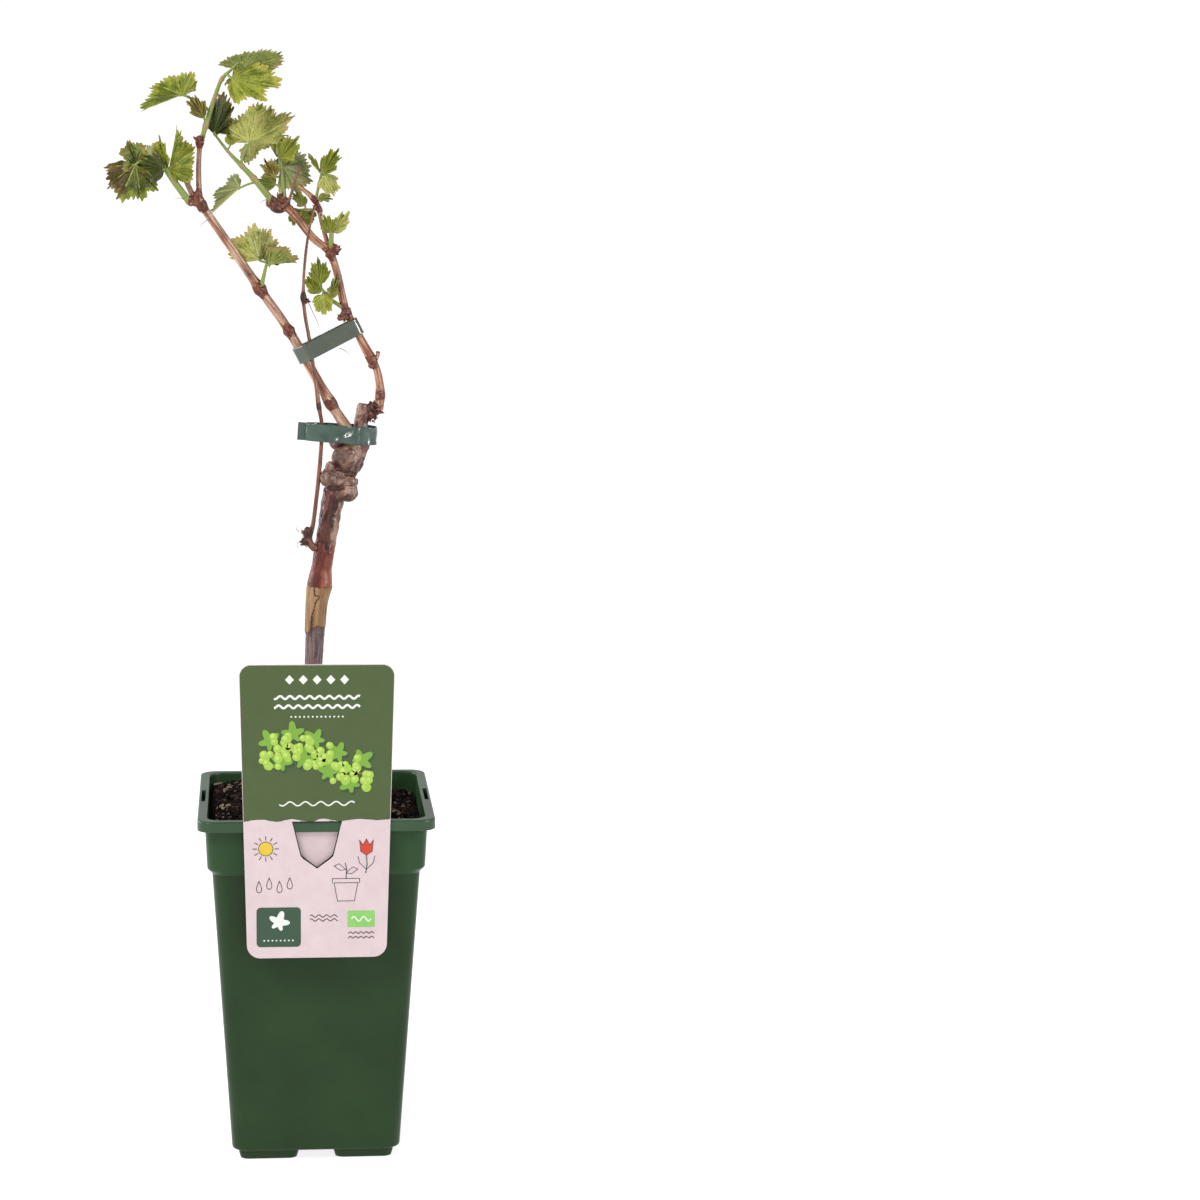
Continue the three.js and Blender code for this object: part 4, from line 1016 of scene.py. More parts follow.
def folded(leaf, share, flat, lift):
    """Places on the blade as it stands: folded at its midrib and bent along it"""
    length = np.linalg.norm(leaf["blade"])
    along = leaf["blade"] / length
    face = unit(FACING - along * FACING.dot(along))
    across = np.cross(face, along)
    left, right = np.radians(leaf["fold"])
    bend = math.radians(leaf["droop"]) or NO_BEND
    side = np.sign(share)
    tilt = np.where(side > 0, left, np.where(side < 0, right, (left + right) / 2))
    out = np.abs(flat[..., 1])
    v = side * (out * np.cos(tilt) - lift * np.sin(tilt))
    height = out * np.sin(tilt) + lift * np.cos(tilt)
    curve, arc = flat[..., 0] / length * bend, length / bend
    shares = ((arc + height) * np.sin(curve), v, height * np.cos(curve) - arc * (1 - np.cos(curve)))
    return leaf["root"] + sum(part[..., None] * way for part, way in zip(shares, (along, across, face)))


# Steps of the mesh across a tooth, how many degrees times millimetres of a blade one tooth takes, how many
# degrees a streak of uneven tone and painted pleat shade takes, and the millimetres between the mesh's rings
SUBSTEPS = 5
TOOTH_SPAN = 190
TONE_AND_SHADE_STREAK = 6
RING_SPACING = 0.6
# The least and most of the teeth's depth, and of how far their tips reach, as shares of the blade's reach there
TOOTH_DEPTH = (0.06, 0.17)
TOOTH_TIP = (0.95, 1.05)
# A vein's half width at its root, in millimetres and as a share of the blade's length, the least that a main
# vein has at its tip, and how wide the minor and side veins are beside it
VEIN_ROOT = 0.13
VEIN_GROWTH = 0.008
THIN_VEIN = 0.22
MINOR_WIDTH = 0.6
SIDE_WIDTH = 0.55
# Where side veins leave their vein, as shares of it, and how far they turn from it, in degrees
SIDE_VEINS = np.arange(0.16, 0.9, 0.11)
SIDE_VEIN_TURN = 42
# How high the blade stands between its veins and on its pleats, and its margin's ripple, as shares of its length
BULGE = 0.05
PLEAT = 0.1
RIPPLE = 0.02
# Which of its colour's shades a blade's back has
UNDER_SHADE = 6


def vein_gaps(leaf, share, flat):
    """How far each place lies from the edge of a main vein, and of any vein, in millimetres"""
    veins = MAIN_VEINS + MINOR_VEINS
    nearest = np.argmin(np.abs(share[:, None] - np.array(veins)), axis=1)
    main, gaps = np.full((2, len(share)), FAR)
    for number, vein in enumerate(veins):
        mine = nearest == number
        thick = VEIN_ROOT + VEIN_GROWTH * np.linalg.norm(leaf["blade"])
        thick = thick * (1 if vein in MAIN_VEINS else MINOR_WIDTH)
        tip = flat_place(leaf, np.array(vein), 0.96 * lobe_reach(np.array(vein)))
        away, along = segment_distance(flat[mine], np.zeros(2), tip)
        gaps[mine] = away - thick * (1 - 0.7 * along)
        if vein in MAIN_VEINS:
            main[mine] = away - np.maximum(thick * (1 - 0.7 * along), THIN_VEIN * along)
        for start in SIDE_VEINS:
            for way in (-1, 1):
                turn = math.radians(SIDE_VEIN_TURN * way)
                heading = np.array([
                    tip[0] * math.cos(turn) - tip[1] * math.sin(turn),
                    tip[0] * math.sin(turn) + tip[1] * math.cos(turn),
                ])
                away, along = segment_distance(flat[mine], tip * start, tip * start + heading * 0.7)
                gaps[mine] = np.minimum(gaps[mine], away - SIDE_WIDTH * thick * (1 - 0.7 * along))
    return main, np.minimum(main, gaps)


def toothed(share, teeth, random):
    """The teeth of the margin, as a share of the reach there"""
    at = (share + 1) * teeth
    number = np.minimum(at.astype(int), 2 * teeth - 1)
    depth = random.uniform(*TOOTH_DEPTH, 2 * teeth)[number]
    tip = random.uniform(*TOOTH_TIP, 2 * teeth)[number]
    rise = 1 - np.abs(2 * (at - number) - 1)
    return tip - depth * (1 - rise ** 1.25)


def shade_of(name, amount):
    """The material number of a colour's shade, for amounts -1 to 1"""
    step = np.round((amount + 1) / 2 * (SHADES - 1))
    return RAMP_NAMES.index(name) * SHADES + np.clip(step, 0, SHADES - 1).astype(int)


def blade_noise(first, second, layer, scale, depth=3):
    """Noise over two coordinates of a blade, with another layer of it for each leaf and use"""
    return rough(np.column_stack([first, second, np.full(len(first), float(layer))]), scale, depth)


def blade_tones(look, spread, share, flat, main, gap, edge, seed):
    """The shade of colour of each face of a blade, on the viewer's side, painted darker beside its veins and in
    streaks as shade in its folds. Edge is 0 in the middle and 1 at the rim.
    """
    mottle = blade_noise(flat[:, 0], flat[:, 1], 40 * seed, 4.5, 4)
    # Streaks that radiate from the root: partly uneven tone, partly painted shade in the pleats' folds and
    # painted light on their ridges
    streaks = blade_noise(share * spread / TONE_AND_SHADE_STREAK, np.linalg.norm(flat, axis=1) / 9, 30 * seed, 1)
    rim = smooth_step(1 - look["reach"], 1, edge + 0.12 * mottle)
    amount = look["middle"] + (look["edge"] - look["middle"]) * rim + 0.25 * mottle + 0.7 * streaks
    amount = amount + look["lean"] * share
    # Veins are paler; the blade beside them is painted darker, a painted shade in the sunk folds
    amount = amount + np.where(gap < 0, 0.25, -0.25 * np.exp(-(np.maximum(gap, 0) / 0.5) ** 2))
    tones = shade_of(look["ramp"], amount)
    if look["half"]:
        ramp, side = look["half"]
        tones = np.where(side * share + 0.1 * mottle > 0, shade_of(ramp, amount + 0.1), tones)
    return np.where(main < 0, shade_of(look["vein"], 1.2 * mottle), tones)


def blade_lift(look, length, teeth, share, flat, gap, rho, seed):
    """How high each place stands off the blade's plane. Rho is 0 at the blade's root and 1 at its margin."""
    wave = blade_noise(flat[..., 0].ravel(), flat[..., 1].ravel(), 70 * seed, 7).reshape(share.shape)
    bulge = BULGE * length * (1 - np.exp(-np.maximum(gap, 0) ** 2)) * np.minimum(1, rho * 3)
    pleat = PLEAT * length * rho * np.abs(np.sin(math.pi * share / MAIN_VEINS[1]))
    ripple = RIPPLE * length * rho ** 3 * np.sin(share * teeth * math.pi / 1.5 + seed)
    return look["side"] * (bulge + pleat) + ripple + look["warp"] * length * wave * rho


def add_sheet(pile, front, back, rows, columns, front_kinds, back_kinds, edge_kind):
    """A thin closed sheet between two grids of points"""
    sheet = grid_faces(rows, columns, False)
    count, rim = rows * columns, grid_rim(rows, columns)
    walls = [(b, a, a + count, b + count) for a, b in zip(rim, rim[1:] + rim[:1])]
    faces = [tuple(reversed(face)) for face in sheet]
    faces += [tuple(corner + count for corner in face) for face in sheet]
    kinds = np.concatenate([front_kinds, back_kinds, np.full(len(walls), edge_kind)])
    pile.add(np.vstack([front, back]), faces + walls, kinds)


def blade(pile, leaf, seed):
    """One leaf: toothed lobes, sunk veins with the blade raised between them, and pleats"""
    random = np.random.default_rng(seed)
    look, length = LOOKS[leaf["look"]], np.linalg.norm(leaf["blade"])
    teeth = max(4, round(leaf["spread"] * length / TOOTH_SPAN))
    rows, columns = max(7, round(length / RING_SPACING)) + 1, 2 * SUBSTEPS * teeth + 1
    around = np.linspace(-1, 1, columns)
    share, rho = np.meshgrid(around, np.linspace(0.03, 1, rows))
    jagged = 1 + (toothed(around, teeth, random) - 1) * rho ** 4
    flat = flat_place(leaf, share, rho * lobe_reach(around) * jagged)
    main, gap = (gaps.reshape(share.shape) for gaps in vein_gaps(leaf, share.ravel(), flat.reshape(-1, 2)))
    lift = blade_lift(look, length, teeth, share, flat, gap, rho, seed)
    thick = (BLADE_THICKNESS + (RIM_THICKNESS - BLADE_THICKNESS) * rho) / 2
    front, back = (folded(leaf, share, flat, lift + way * thick).reshape(-1, 3) for way in (1, -1))
    corners = np.array(grid_faces(rows, columns, False))
    place = flat.reshape(-1, 2)[corners].mean(1)
    share, main, gap, rho = (values.ravel()[corners].mean(1) for values in (share, main, gap, rho))
    tones = blade_tones(look, leaf["spread"], share, place, main, gap, rho, seed)
    under = np.where(gap < 0, shade_of("pale_vein", 0), tones - tones % SHADES + UNDER_SHADE)
    add_sheet(pile, front, back, rows, columns, tones, under, shade_of(look["ramp"], look["edge"]))


def grow_mass(node, mass, number, leaf_materials, twig_materials):
    """A mass of leaves on its stem: one piece for the blades and one for the stem and stalks"""
    blades, twigs = Pile(), Pile()
    path = grow_path(mass)
    shares = limb_shares(mass, 0.8)
    joints = np.arange(1, len(mass["joints"])) / len(mass["joints"])
    near = [min(np.abs(joints - share), default=1) < 0.05 for share in shares[1:]]
    tube(twigs, path, shares, radii_at(mass, shares, 1.6), 12, np.array(near, int))
    for index, leaf in enumerate(mass["leaves"]):
        blade(blades, leaf, 20 * number + index + 1)
        at = np.array([leaf["at"]])
        start, root = curve_at(path, at)[0], leaf["root"]
        reach = np.linalg.norm(root - start)
        size = np.linalg.norm(leaf["blade"])
        bend = start + tangents_at(path, at)[0] * 0.4 * reach
        into = root + unit(leaf["blade"]) * 0.06 * size
        thread(twigs, [start, bend, root, into], 0.5 + 0.016 * size, corners=8, tip=0.62, steps=14)
        bract(twigs, start, start + unit(bend - start + (0, -0.4, 0.5)) * 2.6, 1.3, 1)
    name = node.removeprefix("foliage_")
    belong(blades.make(f"leaves_{name}", leaf_materials), "leaf", node)
    belong(twigs.make(f"twigs_{name}", twig_materials), "leaf", node)


# Pot


def rounded(corners, steps=4):
    """A profile of (across, height, radius) corners with each corner rounded by an arc"""
    points, count = [], len(corners)
    for number, (x, z, radius) in enumerate(corners):
        here = np.array((x, z), float)
        before = unit(np.array(corners[number - 1][:2], float) - here)
        after = unit(np.array(corners[(number + 1) % count][:2], float) - here)
        if radius == 0:
            points.append(here)
            continue
        for step in range(steps + 1):
            t = step / steps
            points.append(here + radius * (before * (1 - t) ** 2 + after * t ** 2))
    return points


def square_ring(half, z, corner=CORNER):
    """A level ring of a square with round corners"""
    points = []
    for quarter in range(4):
        for step in range(CORNER_STEPS + 1):
            turn = (quarter + step / CORNER_STEPS) * math.pi / 2
            middle = (quarter + 0.5) * math.pi / 2
            x = math.copysign(half - corner, math.cos(middle)) + corner * math.cos(turn)
            y = math.copysign(half - corner, math.sin(middle)) + corner * math.sin(turn)
            points.append((x, y, z))
    return np.array(points)


def loft(rings):
    """A skin through rings, capped at both ends"""
    pile = Pile()
    pile.add(np.vstack(rings), capped_grid(len(rings), len(rings[0])))
    return pile.make("loft", [])


def cut(piece, tool, operation):
    """Adds a tool to a piece, or takes it away, and removes the tool"""
    modifier = piece.modifiers.new("cut", "BOOLEAN")
    modifier.object, modifier.operation, modifier.solver = tool, operation, "EXACT"
    applied(piece)
    bpy.data.objects.remove(tool)


def block(low, high):
    """A box between its lowest and highest corners"""
    (x0, y0, z0), (x1, y1, z1) = low, high
    ring = [(x0, y0), (x1, y0), (x1, y1), (x0, y1)]
    return loft([np.array([(x, y, z) for x, y in ring], float) for z in (z0, z1)])


def side_block(x, y, inner, outer, half, low, high):
    """A block along the side of the pot that lies towards x, y, between two distances from the middle"""
    near, far = sorted((inner * (x + y), outer * (x + y)))
    first, last = ((near, -half), (far, half)) if x else ((-half, near), (half, far))
    return block((*first, low), (*last, high))


def disc(radius, low, high, x=0, y=0, sides=32):
    """An upright cylinder between two heights"""
    turns = np.arange(sides) / sides * 2 * math.pi
    ring = np.column_stack([x + radius * np.cos(turns), y + radius * np.sin(turns)])
    return loft([np.column_stack([ring, np.full(sides, z)]) for z in (low, high)])


def pot_skin():
    """The pot's walls, base and skirted rim"""
    flange = RIM_TOP - WALL
    inner = COLLAR_TOP_HALF - WALL
    profile = rounded([
        (FOOT_OUTER, FOOT_HEIGHT, 0), (BASE_HALF, FOOT_HEIGHT, 2), (BODY_TOP_HALF, BODY_TOP, 0.8),
        (COLLAR_LOW_HALF, COLLAR_BOTTOM, 1), (COLLAR_TOP_HALF, flange, 0.8), (RIM_HALF - WALL, flange, 0.5),
        (RIM_HALF - WALL, SKIRT_BOTTOM, 0.5), (RIM_HALF, SKIRT_BOTTOM, 0.5), (RIM_HALF, RIM_TOP, 1.2),
        (inner, RIM_TOP, 1), (COLLAR_LOW_HALF - WALL, COLLAR_BOTTOM + 1, 1),
        (BODY_TOP_HALF - WALL, BODY_TOP - 1, 1), (BASE_HALF - WALL, FOOT_HEIGHT + WALL, 2),
        (FOOT_OUTER - WALL, FOOT_HEIGHT + WALL, 0),
    ])
    return loft([square_ring(half, z) for half, z in profile])


def add_feet(skin):
    """Four tapered feet and a round one in the middle"""
    middle, half = (FOOT_INNER + FOOT_OUTER) / 2, (FOOT_OUTER - FOOT_INNER) / 2
    into_base = FOOT_HEIGHT + 0.5
    levels = ((FOOT_TAPER + 1, 0), (FOOT_TAPER, 0.6), (FOOT_TAPER * 0.4, 4), (0.3, into_base))
    for x, y in ((1, 1), (-1, 1), (-1, -1), (1, -1)):
        place = (x * middle, y * middle, 0)
        foot = loft([square_ring(half - inset, z, FOOT_CORNER) + place for inset, z in levels])
        cut(skin, foot, "UNION")
    cut(skin, disc(CENTRE_FOOT_RADIUS, 0, into_base), "UNION")


def cut_openings(skin):
    """A drain hole at each side of the base and a slot in each side of the rim, which has a closed bottom where
    the card does not pass"""
    flange = RIM_TOP - WALL
    for x, y in ((1, 0), (0, 1), (-1, 0), (0, -1)):
        drain = disc(DRAIN_RADIUS, -1, FOOT_HEIGHT + 3, x * DRAIN_OFFSET, y * DRAIN_OFFSET)
        cut(skin, drain, "DIFFERENCE")
        bottom, half = flange - 1, SLOT_LENGTH / 2
        if (x, y) != (0, -1):
            bottom = SLOT_FLOOR
            inner, outer = COLLAR_TOP_HALF - RIB_INSET, RIM_HALF - RIB_INSET
            cut(skin, side_block(x, y, inner, outer, half + RIB_END, RIB_BOTTOM, flange + 0.5), "UNION")
        cut(skin, side_block(x, y, SLOT_INNER, SLOT_OUTER, half, bottom, RIM_TOP + 1), "DIFFERENCE")


def pot(materials):
    """One skin, with a material each for its body, its collar and its rim"""
    skin = pot_skin()
    add_feet(skin)
    cut_openings(skin)
    skin.name = "nursery_pot"
    dress(skin.data, materials)
    for face in skin.data.polygons:
        face.material_index = int(face.center.z > BODY_TOP * MM) + int(face.center.z > SKIRT_BOTTOM * MM)
    skin.data.shade_smooth()
    skin.data.set_sharp_from_angle(angle=math.radians(35))
    even = skin.modifiers.new("even", "WEIGHTED_NORMAL")
    even.keep_sharp = True
    return belong(applied(skin), "pot", "pot")


# Soil


def soil_height(x, y):
    """The mounded, lumpy top of the soil, sunk at its front and right"""
    points = np.column_stack([x, y, np.zeros(len(x))])
    mound = SOIL_MOUND * np.exp(-((x + 34) ** 2 + (y - 26) ** 2) / 1300)
    dip = 3 * smooth_step(20, 60, x) + 2 * smooth_step(-25, -60, y)
    return SOIL_TOP - 1 + mound - dip + 2.4 * rough(points, 12) + 1.6 * rough(points, 4, 5)


def soil_bed(material):
    """A lumpy bed that fills the pot"""
    line = np.linspace(-1, 1, SOIL_STEPS)
    gx, gy = np.meshgrid(line, line)
    squash = 1 - 0.06 * np.minimum(np.abs(gx), np.abs(gy)) ** 8
    x, y = (gx * squash * SOIL_HALF).ravel(), (gy * squash * SOIL_HALF).ravel()
    top = np.column_stack([x, y, soil_height(x, y)])
    index = np.arange(SOIL_STEPS ** 2).reshape(SOIL_STEPS, SOIL_STEPS)
    rim = np.concatenate([index[0, :-1], index[:-1, -1], index[-1, :0:-1], index[:0:-1, 0]])
    low = top[rim] * (0.94, 0.94, 0) + (0, 0, SOIL_TOP - SOIL_DEEP)
    count, edge = len(top), len(rim)
    walls = [(rim[i], count + i, count + (i + 1) % edge, rim[(i + 1) % edge]) for i in range(edge)]
    bottom = [tuple(range(count + edge - 1, count - 1, -1))]
    pile = Pile()
    pile.add(np.vstack([top, low]), grid_faces(SOIL_STEPS, SOIL_STEPS, False) + walls + bottom)
    belong(pile.make("soil_bed", [material]), "soil", "soil")


def soil_fibres(materials):
    """Loose fibres, flakes and crumbs on the bed"""
    random = np.random.default_rng(8)
    pile = Pile()
    x, y = random.uniform(3 - SOIL_HALF, SOIL_HALF - 3, (2, FIBRES))
    for spot in np.column_stack([x, y, soil_height(x, y) + 0.3]):
        kind = int(random.choice(len(materials), p=FIBRE_KINDS))
        long = random.uniform(1.2, 3.6) * (1 + 1.2 * random.random() ** 4)
        thick = long * random.uniform(0.08, 0.3)
        way = unit(random.normal(size=3) * (1, 1, 0.45)) * long / 2
        bow = random.normal(scale=0.12 * long, size=3) + (0, 0, 0.3)
        points = [spot - way, spot + bow, spot + way]
        thread(pile, points, thick, corners=4, kinds=kind, tip=0.5, steps=5, flat=random.uniform(0.4, 1))
    belong(pile.make("soil_fibres", materials, smooth=False), "soil")


# Card and its print


def sheet_of(outlines, thick, front, name="print"):
    """A flat piece in the X-Z plane with holes where outlines lie in others, its front face at a given Y"""
    curve = bpy.data.curves.new(name, "CURVE")
    curve.dimensions, curve.fill_mode, curve.extrude = "2D", "BOTH", thick / 2 * MM
    for outline in outlines:
        line = curve.splines.new("POLY")
        line.points.add(len(outline) - 1)
        flat = np.zeros((len(outline), 4))
        flat[:, :2], flat[:, 3] = np.asarray(outline) * MM, 1
        line.points.foreach_set("co", flat.ravel())
        line.use_cyclic_u = True
    maker = add_object(name, curve)
    bpy.context.view_layer.update()
    mesh = bpy.data.meshes.new_from_object(maker.evaluated_get(bpy.context.evaluated_depsgraph_get()))
    bpy.data.objects.remove(maker)
    upright = Matrix.Rotation(math.pi / 2, 4, "X")
    mesh.transform(Matrix.Translation((0, (front + thick / 2) * MM, 0)) @ upright)
    return mesh


def arc(middle, radius, start, end, steps=12):
    turns = np.radians(np.linspace(start, end, steps + 1))
    return [(middle[0] + radius * math.cos(t), middle[1] + radius * math.sin(t)) for t in turns]


def circle(middle, radius, steps=24):
    return arc(middle, radius, 0, 360 * (steps - 1) / steps, steps - 1)


def card_half(z):
    share = (z - CARD_BOTTOM) / (CARD_TOP - CARD_BOTTOM)
    return CARD_BOTTOM_HALF + (CARD_TOP_HALF - CARD_BOTTOM_HALF) * share


def card_outline(inset=0):
    """The card's edge, or a line that lies inside it"""
    low, high = CARD_BOTTOM + inset, CARD_TOP - inset
    wide, narrow = card_half(high) - inset, card_half(low) - inset
    r, s = CARD_BOTTOM_CORNER - inset, CARD_TOP_CORNER - inset
    return (
        arc((narrow - r, low + r), r, 270, 360) + arc((wide - s, high - s), s, 0, 90)
        + arc((s - wide, high - s), s, 90, 180) + arc((r - narrow, low + r), r, 180, 270)
    )


def window_outline():
    """The opening that the tongue leaves, with its shoulders and tip and a half-round notch near each corner"""
    top, low = RIM_TOP + CARD_GAP, TONGUE_SHOULDER - CARD_GAP
    side, shoulder = TONGUE_HALF + CARD_GAP, TONGUE_SHOULDER_HALF + CARD_GAP
    right = [(shoulder - SHOULDER_IN, low), (shoulder + SHOULDER_OUT, low + SHOULDER_RISE), (side, top)]
    edge = [(-x, z) for x, z in reversed(right)] + [(0, TONGUE_TIP - CARD_GAP)] + right
    for x in (NOTCH_X, -NOTCH_X):
        edge += arc((x, top), NOTCH_RADIUS, 0, 180, 8)
    return edge


def tear_line():
    """The wavy edge between the card's two colours, from right to left"""
    xs = np.linspace(card_half(TEAR) - 0.3, 0.3 - card_half(TEAR), 60)
    wave = 0.7 * rough(np.column_stack([xs, xs * 0, xs * 0]), 9, 3) + 0.5 * np.sin(xs / 3.1)
    return [(x, TEAR + 0.8 + w) for x, w in zip(xs, wave)]


def across_line(line):
    """Directions across a line of points in a plane, to its left"""
    along = np.gradient(line, axis=0)
    return np.column_stack([-along[:, 1], along[:, 0]]) / np.linalg.norm(along, axis=1)[:, None]


def ribbon(points, width):
    """The outline of a line of a given width"""
    line = np.array(points, float)
    out = across_line(line) * width / 2
    return [tuple(p) for p in line + out] + [tuple(p) for p in (line - out)[::-1]]


def wavy(left, right, count, z, height, pace, start=0):
    """A wavy line at a height z, from a left to a right X"""
    return [(x, z + height * math.sin(x * pace + start)) for x in np.linspace(left, right, count)]


def leaf_shape(middle, size, turn, lobes=5):
    """A simple lobed leaf about its middle"""
    points = []
    for step in range(48):
        t = step / 48 * 2 * math.pi
        reach = size * (0.72 + 0.24 * math.cos(lobes * t)) * (0.8 + 0.2 * math.cos(t))
        points.append((middle[0] + reach * math.sin(t + turn), middle[1] + reach * math.cos(t + turn)))
    return points


def drop_shape(middle, size):
    """A drop with its point up"""
    points = []
    for step in range(30):
        t = step / 30 * 2 * math.pi
        squeeze = math.sin(t / 2) ** 1.4
        points.append((middle[0] + size * 0.62 * math.sin(t) * squeeze, middle[1] + size * math.cos(t)))
    return points


INKS = {
    "panel": "4c5e33", "white": "f2f4ee", "lime": "a9cf4e", "bright": "c4e070", "leaf": "7fae3c",
    "twig": "a8623c", "line": "4a4650", "red": "d8422c", "yellow": "e9c63a", "badge": "37543f",
    "tile": "8fd06c", "shade": "3c5234",
}
INK_NAMES = list(INKS)


def inked(pile, outline, layer, ink):
    """Adds one flat print to a pile, a layer in front of the card"""
    mesh = sheet_of([outline], INK, CARD_FRONT - INK * layer)
    faces = [tuple(face.vertices) for face in mesh.polygons]
    pile.add(vectors(mesh.vertices, "co") / MM, faces, INK_NAMES.index(ink))
    bpy.data.meshes.remove(mesh)


def stroke(pile, points, width=0.34):
    """A thin dark line through points, as flat bars on the card"""
    for start, end in zip(points, points[1:]):
        start, end = np.array(start), np.array(end)
        way = unit(end - start) * width / 2
        side = np.array((-way[1], way[0]))
        corners = [start - way + side, start - way - side, end + way - side, end + way + side]
        box = [(x, y, z) for y in (CARD_FRONT - INK * 3, CARD_FRONT) for x, z in corners]
        faces = [(0, 1, 2, 3), (7, 6, 5, 4)] + [(a, a + 4, (a + 1) % 4 + 4, (a + 1) % 4) for a in range(4)]
        pile.add(box, faces, INK_NAMES.index("line"))


# The print's shapes are placed by their X and Z on the card
SPRIG_HALF = 33
SPRIG_Z = 252
SPRIG_SWAY = 8
SPRAYS = 9
BERRIES = 10


def sprig(pile):
    """A curved stem with leaves and berries across the upper half"""
    random = np.random.default_rng(12)
    shares = np.linspace(0, 1, 46)
    stem = [(-SPRIG_HALF + 2 * SPRIG_HALF * t, SPRIG_Z + SPRIG_SWAY * math.sin(t * 5.2)) for t in shares]
    inked(pile, ribbon([(x + 0.8, z - 1.2) for x, z in stem], 2), 2, "shade")
    inked(pile, ribbon(stem, 1), 3, "twig")
    for number in range(1, SPRAYS + 1):
        x, z = stem[round(number * 4.6) - 1]
        side = 1 if number % 2 else -1
        turn = random.uniform(-1, 1)
        level = 4 + 0.5 * (number % 3)
        inked(pile, leaf_shape((x + 1, z + side * 7.5 - 1.5), 9, turn), level - 1.8, "shade")
        inked(pile, leaf_shape((x, z + side * 7.5), 8.6, turn), level, "leaf")
        for berry in range(BERRIES):
            spot = np.array((x, z - side * 4)) + random.uniform(-5, 5, 2)
            size = random.uniform(1.8, 2.7)
            level = 5.6 + 0.4 * ((berry + 5 * (number % 2)) % BERRIES)
            inked(pile, circle(spot, size), level, "lime")
            inked(pile, circle(spot + (-0.5, 0.6), size * 0.5, 12), level + 0.2, "bright")


def ornament(pile):
    """White rows of diamonds, waves and dots on the upper half"""
    for x in np.arange(-16, 17, 8):
        inked(pile, [(x - 2.6, 300), (x, 302.8), (x + 2.6, 300), (x, 297.2)], 2, "white")
    for row, z in enumerate((289.5, 284)):
        inked(pile, ribbon(wavy(-25, 25, 90, z, 0.9, 1.1, row), 1.3), 2, "white")
    for x in np.arange(-15, 15.1, 2.5):
        inked(pile, circle((x, 278), 0.55, 12), 2, "white")
    inked(pile, ribbon(wavy(-22, 22, 70, 226, 1.2, 0.7), 0.8), 2, "white")


def drawn_sun(pile, middle, radius=4.2):
    """A disc with rays round it"""
    inked(pile, circle(middle, radius), 2, "yellow")
    stroke(pile, circle(middle, radius) + [(middle[0] + radius, middle[1])])
    for turn in np.radians(np.arange(0, 360, 30)):
        way = np.array((math.cos(turn), math.sin(turn)))
        stroke(pile, [middle + way * 5.4, middle + way * 7.4], 0.45)


def drawn_flower(pile, x, z):
    """A flower on a stalk with two leaves"""
    petals = [(-4, 4.6), (-2, 1.8), (0, 5.4), (2, 1.8), (4, 4.6), (3.4, -2), (0, -4.4), (-3.4, -2)]
    shape = [(x + right, z + up) for right, up in petals]
    inked(pile, shape, 2, "red")
    stroke(pile, shape + shape[:1])
    stroke(pile, [(x, z - 4.4), (x + 0.4, z - 10), (x - 0.4, z - 15)], 0.5)
    for side in (-1, 1):
        stroke(pile, [(x, z - 13), (x + side * 4, z - 9), (x + side * 5, z - 5)])


def drawn_seedling(pile):
    """A flower pot with a two-leaved stem"""
    stroke(pile, [(10, 178), (12, 167), (22, 167), (24, 178), (10, 178)])
    stroke(pile, [(9, 178), (9, 180.6), (25, 180.6), (25, 178)])
    stroke(pile, [(17, 180.6), (17.4, 186), (16.6, 190)], 0.45)
    for side, z in ((-1, 186), (1, 184)):
        tip = (17 + side * 7, z + 2.2)
        stroke(pile, [(17, z), (17 + side * 4, z + 3.6), tip, (17 + side * 3.4, z - 0.4), (17, z)])


def tiles(pile):
    """A dark tile with a white leaf and dots, and a light one with a wave"""
    inked(pile, rounded_tile((-22.5, 151.5), 13, 12), 2, "badge")
    inked(pile, leaf_shape((-22.5, 154), 8, 0.3), 3, "white")
    for x in np.arange(-31, -13, 2.4):
        inked(pile, circle((x, 143.4), 0.5, 10), 3, "white")
    inked(pile, rounded_tile((26, 156), 8, 5, 0.4), 2, "tile")
    wave = [(26 + x, z) for x, z in wavy(-5.7, 5.7, 40, 156, 1.4, 1.1)]
    inked(pile, ribbon(wave, 0.8), 3, "white")


def drawings(pile):
    """Small line drawings, wavy lines and tiles on the lower half"""
    drawn_sun(pile, (-30, 199))
    drawn_flower(pile, 29, 199)
    for number, x in enumerate((-34, -28, -22, -16)):
        edge = drop_shape((x, 176 + 2 * (number % 2)), 3.4)
        stroke(pile, edge + edge[:1])
    drawn_seedling(pile)
    for z in (158, 155.6):
        stroke(pile, wavy(-4, 12, 50, z, 0.7, 1.4), 0.4)
    tiles(pile)
    for z in (147.6, 144.8):
        stroke(pile, wavy(18.5, 33.5, 60, z, 0.5, 2), 0.4)


def rounded_tile(middle, half_wide, half_high, corner=2.4):
    (x, z), w, h = middle, half_wide - corner, half_high - corner
    return (
        arc((x + w, z - h), corner, 270, 360, 5) + arc((x + w, z + h), corner, 0, 90, 5)
        + arc((x - w, z + h), corner, 90, 180, 5) + arc((x - w, z - h), corner, 180, 270, 5)
    )


def card_sheet(material):
    """The stiff card with its window"""
    sheet = sheet_of([card_outline(), window_outline()], CARD_THICKNESS, CARD_FRONT, "card_sheet")
    dress(sheet, [material])
    belong(add_object("card_sheet", sheet), "card", "card")


